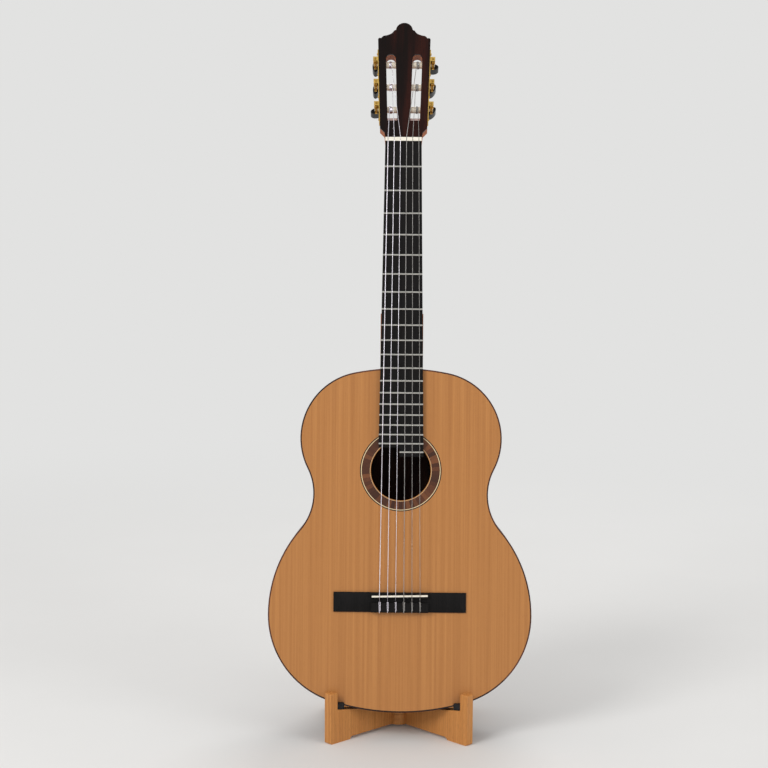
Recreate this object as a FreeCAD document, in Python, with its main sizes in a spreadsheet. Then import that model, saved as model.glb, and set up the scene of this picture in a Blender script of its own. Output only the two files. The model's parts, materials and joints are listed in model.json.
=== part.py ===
import FreeCAD, Part
import math
import os

# A classical guitar leaning back on a folding stand of two crossed boards.
#
# Guitar frame: +X to the treble side, +Y into the sound box, +Z up the neck. Its origin is
# where the neck meets the body, on the front face of the soundboard.
# Head frame: the same axes, tipped back with the head, with its origin on the front face of
# the head at the nut.
# Stand frame: +Z up, +Y to the rear, the front of the lip posts at y = 0.
# Every piece is moved at the end so that the origin is under the middle of the whole object.

DOC = FreeCAD.newDocument("GuitarOnStand")
SHEET = DOC.addObject("Spreadsheet::Sheet", "Sizes")
V = FreeCAD.Vector
ORIGIN = V(0, 0, 0)
X_AXIS = V(1, 0, 0)
Y_AXIS = V(0, 1, 0)
Z_AXIS = V(0, 0, 1)

SIZES = (
    # outline of the sound box
    ("body_length", 494.0),
    ("upper_bout_width", 288.8),
    ("upper_bout_drop", 101.0),
    ("upper_bout_radius", 96.2),
    ("waist_radius", 79.3),
    ("lower_bout_width", 378.0),
    ("lower_bout_drop", 354.5),
    ("lower_corner_radius", 130.5),
    # walls of the sound box
    ("top_thickness", 2.5),
    ("back_thickness", 2.5),
    ("rib_thickness", 2.0),
    ("binding_depth", 6.0),
    ("back_depth", 104.0),
    ("back_radius", 4500.0),
    ("back_apex_drop", 294.0),
    ("lining_width", 6.0),
    ("lining_depth", 14.0),
    ("wedge_width", 12.0),
    ("block_width", 76.0),
    ("heel_block_length", 28.0),
    ("tail_block_length", 15.0),
    # soundhole and rosette
    ("hole_drop", 146.9),
    ("hole_radius", 43.0),
    ("rosette_inner_radius", 44.0),
    ("rosette_outer_radius", 58.6),
    ("rosette_depth", 1.0),
    # braces
    ("fan_width", 5.0),
    ("fan_height", 6.0),
    ("bar_width", 7.0),
    ("bar_height", 15.0),
    ("upper_bar_length", 236.0),
    ("lower_bar_length", 204.0),
    ("fan_start_gap", 2.0),
    ("fan_top_spacing", 13.0),
    ("fan_end_spacing", 36.0),
    ("fan_end_gap", 12.0),
    ("fan_end_step", 9.0),
    ("closing_outer_reach", 150.0),
    ("closing_outer_rise", 74.0),
    ("closing_inner_reach", 128.0),
    ("closing_inner_rise", 48.0),
    ("patch_margin", 4.0),
    ("patch_thickness", 1.8),
    ("strip_width", 18.0),
    ("strip_thickness", 3.0),
    ("upper_brace_drop", 92.0),
    ("upper_brace_length", 256.0),
    ("waist_brace_drop", 205.0),
    ("waist_brace_length", 216.0),
    ("lower_brace_drop", 352.0),
    ("lower_brace_length", 344.0),
    # fretboard, frets and nut
    ("scale_length", 650.0),
    ("fretboard_thickness", 6.0),
    ("nut_width", 52.0),
    ("join_width", 61.0),
    ("board_end_drop", 113.6),
    ("board_tongue_drop", 126.8),
    ("tongue_side", -2.0),
    ("tongue_corner_radius", 4.0),
    ("fret_width", 2.6),
    ("fret_height", 1.0),
    ("tang_width", 0.6),
    ("tang_depth", 1.5),
    ("nut_length", 5.5),
    ("nut_height", 8.6),
    ("nut_slot_height", 7.9),
    # strings
    ("nut_spread", 44.0),
    ("saddle_spread", 58.0),
    # bridge and saddle
    ("bridge_width", 190.0),
    ("bridge_length", 28.5),
    ("bridge_height", 9.0),
    ("bridge_centre_width", 82.0),
    ("wing_height", 4.5),
    ("wing_bevel", 9.0),
    ("wing_tip_height", 1.6),
    ("saddle_setback", 3.9),
    ("saddle_carrier_length", 8.2),
    ("tie_block_length", 14.0),
    ("channel_height", 4.0),
    ("tie_hole_height", 5.2),
    ("tie_hole_radius", 0.9),
    ("bridge_edge", 1.5),
    ("saddle_width", 80.0),
    ("saddle_thickness", 2.5),
    ("saddle_height", 12.5),
    ("saddle_slot_depth", 5.0),
    ("saddle_slant", 1.1),
    # neck, heel and head
    ("neck_thickness_nut", 15.5),
    ("neck_thickness_join", 17.5),
    ("neck_side_height", 2.0),
    ("neck_taper_start", 30.0),
    ("heel_run", 78.0),
    ("heel_foot_length", 18.0),
    ("heel_foot_width", 26.0),
    ("heel_cap_thickness", 2.0),
    ("heel_overlap", 6.0),
    ("head_tilt", 15.0),
    ("head_thickness", 20.0),
    ("veneer_thickness", 3.0),
    ("head_length", 180.0),
    ("head_shoulder", 15.0),
    ("head_low_width", 68.0),
    ("head_top_width", 76.4),
    ("crown_height", 27.0),
    ("crown_radius", 12.2),
    ("slot_width", 14.0),
    ("slot_bottom", 26.5),
    ("slot_top", 130.5),
    ("slot_low_offset", 16.3),
    ("slot_high_offset", 19.4),
    ("slot_ramp", 12.0),
    # tuners
    ("roller_first", 46.2),
    ("roller_pitch", 35.0),
    ("roller_depth", 8.0),
    ("roller_radius", 4.75),
    ("roller_seat", 4.5),
    ("running_clearance", 0.05),
    ("end_clearance", 0.3),
    ("spindle_radius", 2.0),
    ("spindle_end", 0.6),
    ("winding_start_gap", 0.1),
    ("plate_thickness", 1.2),
    ("plate_height", 12.6),
    ("plate_margin", 22.0),
    ("gear_module", 0.75),
    ("gear_teeth", 14.0),
    ("gear_width", 3.5),
    ("gear_gap", 1.9),
    ("gear_tooth_width", 0.74),
    ("gear_root_radius", 4.3),
    ("gear_tip_radius", 6.0),
    ("worm_distance", 7.75),
    ("worm_core_radius", 1.55),
    ("worm_tip_radius", 3.2),
    ("worm_thread_width", 0.84),
    ("worm_turns", 3.0),
    ("shaft_radius", 1.5),
    ("ear_thickness", 1.5),
    ("ear_offset", 4.7),
    ("ear_height", 6.4),
    ("shaft_end", 0.8),
    ("collar_radius", 2.1),
    ("collar_width", 2.0),
    ("button_start", 28.0),
    ("button_neck_length", 4.0),
    ("button_neck_radius", 3.2),
    ("button_length", 20.0),
    ("button_width", 17.0),
    ("button_thickness", 9.0),
    ("screw_head_radius", 1.8),
    ("screw_head_height", 0.9),
    ("screw_head_gap", 0.06),
    ("screw_below_roller", 15.0),
    ("screw_above_roller", 17.5),
    ("screw_radius", 0.9),
    ("screw_length", 7.0),
    # how the guitar leans and where it stands
    ("lean_angle", 7.5),
    ("guitar_setback", 19.5),
    ("guitar_height", 42.6),
    ("rest_clearance", 0.45),
    # stand
    ("leg_reach", 136.6),
    ("leg_thickness", 13.5),
    ("leg_gap", 0.25),
    ("post_length", 14.0),
    ("post_height", 74.0),
    ("shelf_front_height", 49.0),
    ("shelf_rear_height", 27.0),
    ("foot_length", 38.0),
    ("foot_relief", 4.0),
    ("arm_height", 240.0),
    ("arm_foot_clearance", 0.68),
    ("arm_head_clearance", 2.5),
    ("arm_top_width", 36.0),
    ("edge_round", 1.5),
    ("pin_radius", 4.0),
    ("pin_head_radius", 7.0),
    ("pin_head_height", 1.5),
    ("knuckle_height", 7.8),
    ("pad_length", 13.5),
    ("pad_top", 66.0),
    ("inner_pad_start", 16.0),
    ("inner_pad_length", 26.0),
    ("inner_pad_thickness", 12.0),
    ("arm_pad_thickness", 14.0),
    ("arm_pad_low", 186.0),
    ("arm_pad_high", 224.0),
)

for row, (alias, value) in enumerate(SIZES, start=1):
    SHEET.set("A%d" % row, alias)
    SHEET.set("B%d" % row, str(value))
    SHEET.setAlias("B%d" % row, alias)
DOC.recompute()


def size(name):
    """Value of one driving dimension."""
    return float(SHEET.get(name))


# ---------------------------------------------------------------- helpers

GUITAR_NODES = []
STAND_NODES = []


def node(obj, label, group, local=None):
    """Give a finished piece its name, and remember the frame that it was drawn in."""
    obj.Label = label
    group.append((obj, local or FreeCAD.Placement(obj.Placement)))
    return obj


def give(obj, prop, value):
    """Set a property to a number, or bind it to the sheet when the value is an expression."""
    if isinstance(value, str):
        obj.setExpression(prop, value)
    else:
        setattr(obj, prop, value)


def new_body(name):
    return DOC.addObject("PartDesign::Body", name)


def sketch_on(body, role, name, lift=0.0):
    """Sketch on one of the body's own origin planes, moved along that plane's normal."""
    plane = [item for item in body.Origin.OriginFeatures if item.Role == role][0]
    sketch = body.newObject("Sketcher::SketchObject", name)
    sketch.AttachmentSupport = [(plane, "")]
    sketch.MapMode = "FlatFace"
    sketch.AttachmentOffset = FreeCAD.Placement(V(0, 0, lift), FreeCAD.Rotation())
    return sketch


def draw(sketch, start, steps):
    """Draw a chain from start: (u, v) is a line, (mid_u, mid_v, u, v) an arc through mid."""
    here = V(start[0], start[1], 0)
    for step in steps:
        there = V(step[-2], step[-1], 0)
        if len(step) == 2:
            sketch.addGeometry(Part.LineSegment(here, there))
        else:
            sketch.addGeometry(Part.Arc(here, V(step[0], step[1], 0), there))
        here = there
    return sketch


def draw_circle(sketch, u, v, radius):
    sketch.addGeometry(Part.Circle(V(u, v, 0), Z_AXIS, radius))
    return sketch


def draw_box(sketch, u_low, v_low, u_high, v_high):
    corners = ((u_high, v_low), (u_high, v_high), (u_low, v_high), (u_low, v_low))
    return draw(sketch, (u_low, v_low), corners)


def feature(body, kind, profile, length, name, reverse=False, midplane=False):
    """Pad or Pocket of one sketch."""
    made = body.newObject("PartDesign::" + kind, name)
    made.Profile = profile
    give(made, "Length", length)
    made.Reversed = reverse
    made.Midplane = midplane
    DOC.recompute()
    return made


def pad(body, profile, length, name, reverse=False, midplane=False):
    return feature(body, "Pad", profile, length, name, reverse, midplane)


def pocket(body, profile, length, name, reverse=False, midplane=False):
    return feature(body, "Pocket", profile, length, name, reverse, midplane)


def block(name, low, lengths):
    """Part::Box from its low corner and its three lengths."""
    box = DOC.addObject("Part::Box", name)
    for prop, value in zip(("Length", "Width", "Height"), lengths):
        give(box, prop, value)
    box.Placement.Base = V(*low)
    return box


def rod(name, start, direction, radius, length):
    """Part::Cylinder along a direction."""
    made = DOC.addObject("Part::Cylinder", name)
    give(made, "Radius", radius)
    give(made, "Height", length)
    made.Placement = FreeCAD.Placement(V(*start), FreeCAD.Rotation(Z_AXIS, direction))
    return made


def fuse(name, parts):
    made = DOC.addObject("Part::MultiFuse", name)
    made.Shapes = parts
    return made


def common(name, parts):
    made = DOC.addObject("Part::MultiCommon", name)
    made.Shapes = parts
    return made


def cut(name, base, tool):
    made = DOC.addObject("Part::Cut", name)
    made.Base = base
    made.Tool = tool
    return made


def group_solids(name, parts):
    made = DOC.addObject("Part::Compound", name)
    made.Links = parts
    return made


def fixed_shape(name, shape):
    """Part::Feature for a piece that neither a body nor a primitive can make."""
    made = DOC.addObject("Part::Feature", name)
    made.Shape = shape
    return made


# ---------------------------------------------------------------- outline of the sound box

def unit(vector):
    return vector / vector.Length


def outline_circles():
    """Centres and radii of the arcs of one half, from the neck to the tail, all tangent."""
    upper_radius = size("upper_bout_radius")
    upper = V(size("upper_bout_width") / 2 - upper_radius, -size("upper_bout_drop"), 0)
    top_radius = (upper.Length ** 2 - upper_radius ** 2) / (2 * (-upper.y - upper_radius))
    top = V(0, -top_radius, 0)
    flank_radius = size("lower_bout_width") / 2
    flank = V(0, -size("lower_bout_drop"), 0)
    corner_radius = size("lower_corner_radius")
    corner = V(flank_radius - corner_radius, flank.y, 0)
    rise = size("body_length") - size("lower_bout_drop")
    tail_radius = (corner.x ** 2 + rise ** 2 - corner_radius ** 2) / (2 * (rise - corner_radius))
    tail = V(0, tail_radius - size("body_length"), 0)
    waist_radius = size("waist_radius")
    span = (flank - upper).Length
    to_upper = waist_radius + upper_radius
    to_flank = waist_radius + flank_radius
    along = (to_upper ** 2 - to_flank ** 2 + span ** 2) / (2 * span)
    away = math.sqrt(to_upper ** 2 - along ** 2)
    line = unit(flank - upper)
    waist = upper + line * along + V(-line.y, line.x, 0) * away
    return (
        (top, top_radius, 1),
        (upper, upper_radius, 1),
        (waist, waist_radius, -1),
        (flank, flank_radius, 1),
        (corner, corner_radius, 1),
        (tail, tail_radius, 1),
    )


def half_outline(inset, gap=0.0, side=1):
    """Arcs (start, middle, end) of one half, set in from the outline, from x = gap to x = gap."""
    circles = [(centre, radius - inset * bulge) for centre, radius, bulge in outline_circles()]
    top, upper, waist, flank, corner, tail = circles
    ends = [
        top[0] + V(gap, math.sqrt(top[1] ** 2 - gap ** 2), 0),
        upper[0] + unit(upper[0] - top[0]) * upper[1],
        upper[0] + unit(waist[0] - upper[0]) * upper[1],
        flank[0] + unit(waist[0] - flank[0]) * flank[1],
        flank[0] + X_AXIS * flank[1],
        corner[0] + unit(corner[0] - tail[0]) * corner[1],
        tail[0] + V(gap, -math.sqrt(tail[1] ** 2 - gap ** 2), 0),
    ]
    arcs = []
    for (centre, radius), start, end in zip(circles, ends, ends[1:]):
        middle = centre + unit((start - centre) + (end - centre)) * radius
        arcs.append(tuple(V(side * point.x, point.y, 0) for point in (start, middle, end)))
    return arcs


def draw_arcs(sketch, arcs):
    for start, middle, end in arcs:
        sketch.addGeometry(Part.Arc(start, middle, end))
    return sketch


def draw_outline(sketch, inset):
    draw_arcs(sketch, half_outline(inset, side=1))
    draw_arcs(sketch, half_outline(inset, side=-1))
    return sketch


def draw_half_ring(sketch, outer_inset, inner_inset, gap, side):
    outer = half_outline(outer_inset, gap, side)
    inner = half_outline(inner_inset, gap, side)
    draw_arcs(sketch, outer)
    draw_arcs(sketch, inner)
    sketch.addGeometry(Part.LineSegment(outer[0][0], inner[0][0]))
    sketch.addGeometry(Part.LineSegment(outer[-1][-1], inner[-1][-1]))
    return sketch


def front_sketch(name, depth):
    """Free sketch facing the front of the guitar, at one depth."""
    sketch = DOC.addObject("Sketcher::SketchObject", name)
    sketch.Placement = FreeCAD.Placement(V(0, depth, 0), FreeCAD.Rotation(X_AXIS, 90))
    return sketch


def prism(name, sketch, length):
    """Extrusion of a front sketch into the sound box."""
    made = DOC.addObject("Part::Extrusion", name)
    made.Base = sketch
    made.DirMode = "Custom"
    made.Dir = Y_AXIS
    made.Solid = True
    give(made, "LengthFwd", length)
    return made


def dome(name, inside):
    """Ball whose surface lies a given distance inside the domed back."""
    ball = DOC.addObject("Part::Sphere", name)
    ball.setExpression("Radius", "Sizes.back_radius - (%s)" % inside)
    ball.setExpression("Placement.Base.y", "Sizes.back_depth - Sizes.back_radius")
    ball.setExpression("Placement.Base.z", "-Sizes.back_apex_drop")
    return ball


def back_surface(x, z, inside=0.0):
    """Depth of the domed back at one place."""
    radius = size("back_radius") - inside
    off = x ** 2 + (z + size("back_apex_drop")) ** 2
    return size("back_depth") - size("back_radius") + math.sqrt(radius ** 2 - off)


RIB = size("rib_thickness")
INNER = RIB + size("lining_width")
BEYOND = size("back_depth") + 10.0

# ---------------------------------------------------------------- plates and ribs

def make_soundboard():
    body = new_body("soundboard")
    plate = draw_outline(sketch_on(body, "XZ_Plane", "SoundboardOutline"), RIB)
    pad(body, plate, "Sizes.top_thickness", "SoundboardPlate", reverse=True)
    hole = sketch_on(body, "XZ_Plane", "Soundhole")
    draw_circle(hole, 0, -size("hole_drop"), size("hole_radius"))
    pocket(body, hole, "Sizes.top_thickness * 2", "SoundholeCut")
    channel = sketch_on(body, "XZ_Plane", "RosetteChannel")
    draw_circle(channel, 0, -size("hole_drop"), size("rosette_inner_radius"))
    draw_circle(channel, 0, -size("hole_drop"), size("rosette_outer_radius"))
    pocket(body, channel, "Sizes.rosette_depth", "RosetteChannelCut")
    node(body, "soundboard", GUITAR_NODES)


def make_rosette():
    body = new_body("rosette")
    ring = sketch_on(body, "XZ_Plane", "RosetteRing")
    draw_circle(ring, 0, -size("hole_drop"), size("rosette_inner_radius"))
    draw_circle(ring, 0, -size("hole_drop"), size("rosette_outer_radius"))
    pad(body, ring, "Sizes.rosette_depth", "RosetteInlay", reverse=True)
    node(body, "rosette", GUITAR_NODES)


def make_back():
    plate = prism("BackPrism", draw_outline(front_sketch("BackOutline", 0), RIB), BEYOND)
    shell = cut("BackShell", dome("BackOuter", "0"), dome("BackInner", "Sizes.back_thickness"))
    node(common("Back", [plate, shell]), "back", GUITAR_NODES)


def make_ribs():
    for side, label in ((-1, "rib_bass"), (1, "rib_treble")):
        sketch = front_sketch("RibLine_" + label, size("binding_depth"))
        draw_half_ring(sketch, 0, RIB, size("wedge_width") / 2, side)
        wall = prism("RibWall_" + label, sketch, BEYOND)
        inner = dome("RibEdge_" + label, "Sizes.binding_depth")
        node(common("Rib_" + label, [wall, inner]), label, GUITAR_NODES)


def make_bindings():
    front = draw_outline(front_sketch("BindingLine", 0), 0)
    draw_outline(front, RIB)
    front_strip = prism("FrontBinding", front, "Sizes.binding_depth")
    rear = draw_outline(front_sketch("RearBindingLine", size("binding_depth")), 0)
    draw_outline(rear, RIB)
    shell = cut("BindingShell", dome("BindingOuter", "0"), dome("BindingInner", "Sizes.binding_depth"))
    rear_strip = common("RearBinding", [prism("RearBindingRing", rear, BEYOND), shell])
    node(group_solids("Bindings", [front_strip, rear_strip]), "bindings", GUITAR_NODES)


def make_linings():
    """Strips that glue the plates to the ribs, between the heel block and the tail block."""
    strips = []
    gap = size("block_width") / 2
    inside = "Sizes.back_thickness + Sizes.lining_depth"
    for side in (-1, 1):
        tag = "Bass" if side < 0 else "Treble"
        front = front_sketch("FrontLiningLine" + tag, size("top_thickness"))
        draw_half_ring(front, RIB, INNER, gap, side)
        strips.append(prism("FrontLining" + tag, front, "Sizes.lining_depth"))
        rear = front_sketch("RearLiningLine" + tag, size("top_thickness"))
        draw_half_ring(rear, RIB, INNER, gap, side)
        ring = prism("RearLiningRing" + tag, rear, BEYOND)
        shell = cut("RearLiningShell" + tag, dome("LiningOuter" + tag, "Sizes.back_thickness"),
                    dome("LiningInner" + tag, inside))
        strips.append(common("RearLining" + tag, [ring, shell]))
    node(group_solids("Linings", strips), "linings", GUITAR_NODES)


def make_block(label, low_z, length):
    """Solid block between the plates, at the heel or at the tail."""
    width = size("block_width")
    line = draw_outline(front_sketch("BlockLine_" + label, size("top_thickness")), RIB)
    inner = dome("BlockBack_" + label, "Sizes.back_thickness")
    bounds = block("BlockBounds_" + label, (-width / 2, 0, low_z), ("Sizes.block_width", BEYOND, length))
    whole = prism("BlockPrism_" + label, line, BEYOND)
    node(common("Block_" + label, [whole, inner, bounds]), label, GUITAR_NODES)


def make_tail_wedge():
    """Strip let in between the two ribs at the tail."""
    width = size("wedge_width")
    line = front_sketch("WedgeLine", size("binding_depth"))
    outer = half_outline(0)[-1][-1]
    inner = half_outline(RIB)[-1][-1]
    edge_outer = half_outline(0, width / 2)[-1][-1]
    edge_inner = half_outline(RIB, width / 2)[-1][-1]
    draw(line, (-edge_outer.x, edge_outer.y), (
        (outer.x, outer.y, edge_outer.x, edge_outer.y),
        (edge_inner.x, edge_inner.y),
        (inner.x, inner.y, -edge_inner.x, edge_inner.y),
        (-edge_outer.x, edge_outer.y),
    ))
    strip = prism("WedgeStrip", line, BEYOND)
    node(common("Wedge", [strip, dome("WedgeEdge", "Sizes.binding_depth")]), "tail_wedge", GUITAR_NODES)


# ---------------------------------------------------------------- braces

def make_bridge_patch():
    front = size("top_thickness")
    low = bridge_rear() - size("patch_margin")
    lengths = ("Sizes.bridge_width", "Sizes.patch_thickness", "Sizes.bridge_length + Sizes.patch_margin * 2")
    body = block("BridgePatch", (-size("bridge_width") / 2, front, low), lengths)
    node(body, "bridge_patch", GUITAR_NODES)


def tapered_bar(start, end, width, height, depth):
    """Bar on the inside of the soundboard, with its upper edges bevelled at both ends."""
    run = V(end[0] - start[0], 0, end[1] - start[1])
    length = run.Length
    bevel = height * 1.6
    tip = height * 0.3
    wire = Part.makePolygon([
        V(0, 0, 0), V(length, 0, 0), V(length, tip, 0), V(length - bevel, height, 0),
        V(bevel, height, 0), V(0, tip, 0), V(0, 0, 0),
    ])
    bar = Part.Face(wire).extrude(V(0, 0, width))
    bar.translate(V(0, depth, -width / 2))
    angle = math.degrees(math.atan2(-run.z, run.x))
    bar.rotate(V(0, 0, 0), Y_AXIS, angle)
    bar.translate(V(start[0], 0, start[1]))
    return bar


def make_soundboard_braces():
    """Two harmonic bars, seven fan struts and two closing struts."""
    depth = size("top_thickness")
    hole = size("hole_drop")
    reach = size("rosette_outer_radius") + size("bar_width")
    bars = []
    upper = size("upper_bar_length") / 2
    lower = size("lower_bar_length") / 2
    for drop, half in ((hole - reach, upper), (hole + reach, lower)):
        bars.append(tapered_bar((-half, -drop), (half, -drop), size("bar_width"), size("bar_height"), depth))
    fan_top = hole + reach + size("bar_width") + size("fan_start_gap")
    margin = size("patch_margin")
    patch = Part.makeBox(size("bridge_width"), size("patch_thickness"), size("bridge_length") + 2 * margin,
                         V(-size("bridge_width") / 2, depth, bridge_rear() - margin))
    fan_end = size("body_length") - size("tail_block_length") - RIB
    for index in range(-3, 4):
        drop_end = fan_end - size("fan_end_gap") - size("fan_end_step") * abs(index)
        start = (index * size("fan_top_spacing"), -fan_top)
        end = (index * size("fan_end_spacing"), -drop_end)
        strut = tapered_bar(start, end, size("fan_width"), size("fan_height"), depth)
        bars.append(strut.cut(patch))
    for side in (-1, 1):
        start = (side * size("closing_outer_reach"), size("closing_outer_rise") - fan_end)
        end = (side * size("closing_inner_reach"), size("closing_inner_rise") - fan_end)
        bars.append(tapered_bar(start, end, size("fan_width"), size("fan_height"), depth))
    node(fixed_shape("SoundboardBraces", Part.makeCompound(bars)), "soundboard_braces", GUITAR_NODES)


def make_back_strip():
    length = size("body_length") - size("heel_block_length") - size("tail_block_length") - 2 * RIB
    start = -size("heel_block_length") - RIB - length + 1
    bounds = block("StripBounds", (-size("strip_width") / 2, 0, start),
                   ("Sizes.strip_width", BEYOND, length - 2))
    shell = cut("StripShell", dome("StripOuter", "Sizes.back_thickness"),
                dome("StripInner", "Sizes.back_thickness + Sizes.strip_thickness"))
    node(common("BackStrip", [bounds, shell]), "back_centre_strip", GUITAR_NODES)


def make_back_braces():
    """Three bars across the back, notched over the centre strip."""
    bars = []
    for name in ("upper_brace", "waist_brace", "lower_brace"):
        length = size(name + "_length")
        bars.append(block("BackBrace_" + name, (-length / 2, 0, -size(name + "_drop")),
                          (length, BEYOND, "Sizes.bar_width")))
    inside = "Sizes.back_thickness + Sizes.bar_height"
    outer = dome("BackBraceOuter", "Sizes.back_thickness")
    shell = cut("BackBraceShell", outer, dome("BackBraceInner", inside))
    whole = common("BackBraceBars", [group_solids("BackBraceBlocks", bars), shell])
    notch_bounds = block("NotchBounds", (-size("strip_width") / 2, 0, -size("body_length")),
                         ("Sizes.strip_width", BEYOND, "Sizes.body_length"))
    notch_shell = cut("NotchShell", dome("NotchOuter", "Sizes.back_thickness"),
                      dome("NotchInner", "Sizes.back_thickness + Sizes.strip_thickness"))
    notch = common("BraceNotch", [notch_bounds, notch_shell])
    node(cut("BackBraces", whole, notch), "back_braces", GUITAR_NODES)


# ---------------------------------------------------------------- fretboard and nut

NUT_FRONT = size("scale_length") / 2
NUT_BACK = NUT_FRONT + size("nut_length")
FRET_COUNT = 20


def board_half_width(z):
    """Half the width of the fretboard at one height, on its straight taper."""
    nut_half = size("nut_width") / 2
    join_half = size("join_width") / 2
    return join_half + (nut_half - join_half) * z / NUT_FRONT


def fret_level(number):
    """Height of one fret above the body join."""
    return NUT_FRONT - size("scale_length") * (1 - 0.5 ** (number / 12))


def fret_span(number):
    """Left and right ends of one fret; the last one is on the treble side only."""
    half = board_half_width(fret_level(number))
    low = -half
    if fret_level(number) < -size("board_end_drop"):
        low = size("tongue_side")
    return low, half


def make_fretboard():
    body = new_body("fretboard")
    line = sketch_on(body, "XZ_Plane", "FretboardOutline")
    end = -size("board_end_drop")
    tongue = -size("board_tongue_drop")
    side = size("tongue_side")
    radius = size("tongue_corner_radius")
    slant = radius * (1 - math.sqrt(0.5))
    draw(line, (-board_half_width(NUT_FRONT), NUT_FRONT), (
        (board_half_width(NUT_FRONT), NUT_FRONT),
        (board_half_width(tongue), tongue),
        (side, tongue),
        (side, end - radius),
        (side - slant, end - slant, side - radius, end),
        (-board_half_width(end), end),
        (-board_half_width(NUT_FRONT), NUT_FRONT),
    ))
    pad(body, line, "Sizes.fretboard_thickness", "FretboardPlank")
    slots = sketch_on(body, "XZ_Plane", "FretSlots", size("fretboard_thickness"))
    tang = size("tang_width") / 2
    for number in range(1, FRET_COUNT + 1):
        low, high = fret_span(number)
        z = fret_level(number)
        draw_box(slots, low - 1, z - tang, high + 1, z + tang)
    pocket(body, slots, "Sizes.tang_depth", "FretSlotCuts")
    node(body, "fretboard", GUITAR_NODES)


def make_frets():
    """Wire with a domed crown on the board and a tang in its slot."""
    face_y = -size("fretboard_thickness")
    half = size("fret_width") / 2
    tang = size("tang_width") / 2
    frets = []
    for number in range(1, FRET_COUNT + 1):
        low, high = fret_span(number)
        z = fret_level(number)
        deep = face_y + size("tang_depth")
        crown = Part.Arc(V(low, face_y, z - half), V(low, face_y - size("fret_height"), z),
                         V(low, face_y, z + half)).toShape()
        rest = Part.makePolygon([
            V(low, face_y, z + half), V(low, face_y, z + tang), V(low, deep, z + tang),
            V(low, deep, z - tang), V(low, face_y, z - tang), V(low, face_y, z - half),
        ])
        face = Part.Face(Part.Wire([crown] + rest.Edges))
        frets.append(face.extrude(V(high - low, 0, 0)))
    node(fixed_shape("Frets", Part.makeCompound(frets)), "frets", GUITAR_NODES)


def make_nut():
    """Bone nut with a sloping top and one slot under each string."""
    body = new_body("nut")
    side = sketch_on(body, "YZ_Plane", "NutProfile")
    top = -size("nut_height")
    low = top + size("nut_length") * math.tan(math.radians(size("head_tilt")))
    draw(side, (0, NUT_FRONT), (
        (top, NUT_FRONT),
        (top - 0.2, NUT_FRONT + 1.0, top, NUT_FRONT + 2.0),
        (low, NUT_BACK),
        (0, NUT_BACK),
        (0, NUT_FRONT),
    ))
    pad(body, side, "Sizes.nut_width", "NutBlock", midplane=True)
    for string in STRINGS:
        route = string_route(string)
        floor = route["nut"].y + string["radius"]
        fall = (route["nut_rear"].y - route["nut"].y)
        notch = sketch_on(body, "YZ_Plane", "NutSlot%d" % string["number"], string["nut_x"])
        rear_z = route["nut_rear"].z
        draw(notch, (floor, NUT_FRONT - 0.5), (
            (floor, route["nut"].z),
            (floor + fall, rear_z),
            (top - 2, rear_z),
            (top - 2, NUT_FRONT - 0.5),
            (floor, NUT_FRONT - 0.5),
        ))
        pocket(body, notch, 2 * string["radius"] + 0.1, "NutSlotCut%d" % string["number"], midplane=True)
    node(body, "nut", GUITAR_NODES)


# ---------------------------------------------------------------- bridge and saddle

def saddle_middle():
    """Height of the middle of the saddle; its strings are the scale length and a little more."""
    return NUT_FRONT - size("scale_length") - 1.0


def bridge_front():
    return saddle_middle() + size("saddle_thickness") / 2 + size("saddle_setback") - 0.5


def bridge_rear():
    return bridge_front() - size("bridge_length")


def saddle_z(x):
    """The saddle slants: its bass end is further from the nut."""
    return saddle_middle() + x * math.tan(math.radians(size("saddle_slant")))


def make_bridge():
    body = new_body("bridge")
    front = bridge_front()
    rear = bridge_rear()
    high = -size("bridge_height")
    wing = -size("wing_height")
    wings = sketch_on(body, "YZ_Plane", "WingProfile")
    draw(wings, (0, rear), (
        (0, front),
        (wing * 0.5, front),
        (wing, (front + rear) / 2, wing * 0.5, rear),
        (0, rear),
    ))
    pad(body, wings, "Sizes.bridge_width", "Wings", midplane=True)
    centre = sketch_on(body, "YZ_Plane", "CentreProfile")
    carrier = front - size("saddle_carrier_length")
    tie = rear + size("tie_block_length")
    floor = -size("channel_height")
    edge = size("bridge_edge")
    draw(centre, (0, rear), (
        (0, front),
        (high + edge, front),
        (high, front - edge),
        (high, carrier),
        (floor, carrier),
        (floor, tie),
        (high, tie),
        (high, rear + edge),
        (high + edge, rear),
        (0, rear),
    ))
    pad(body, centre, "Sizes.bridge_centre_width", "CentreBlock", midplane=True)
    half = size("bridge_width") / 2
    bevel = size("wing_bevel")
    tip = -size("wing_tip_height")
    ends = sketch_on(body, "XY_Plane", "EndBevels", rear - 1)
    for side in (-1, 1):
        draw(ends, (side * (half - bevel), wing - 1), (
            (side * (half + 1), wing - 1),
            (side * (half + 1), tip),
            (side * half, tip),
            (side * (half - bevel), wing),
            (side * (half - bevel), wing - 1),
        ))
    pocket(body, ends, size("bridge_length") + 2, "EndBevelCuts", reverse=True)
    slot = sketch_on(body, "XZ_Plane", "SaddleSlot", size("bridge_height"))
    draw_saddle_plan(slot)
    pocket(body, slot, "Sizes.saddle_slot_depth", "SaddleSlotCut")
    holes = sketch_on(body, "XY_Plane", "TieHoles", rear)
    for string in STRINGS:
        draw_circle(holes, string["saddle_x"], -size("tie_hole_height"), size("tie_hole_radius"))
    pocket(body, holes, "Sizes.tie_block_length + 0.5", "TieHoleCuts", reverse=True)
    node(body, "bridge", GUITAR_NODES)


def draw_saddle_plan(sketch):
    half = size("saddle_width") / 2
    thick = size("saddle_thickness") / 2
    draw(sketch, (-half, saddle_z(-half) - thick), (
        (half, saddle_z(half) - thick),
        (half, saddle_z(half) + thick),
        (-half, saddle_z(-half) + thick),
        (-half, saddle_z(-half) - thick),
    ))
    return sketch


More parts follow.
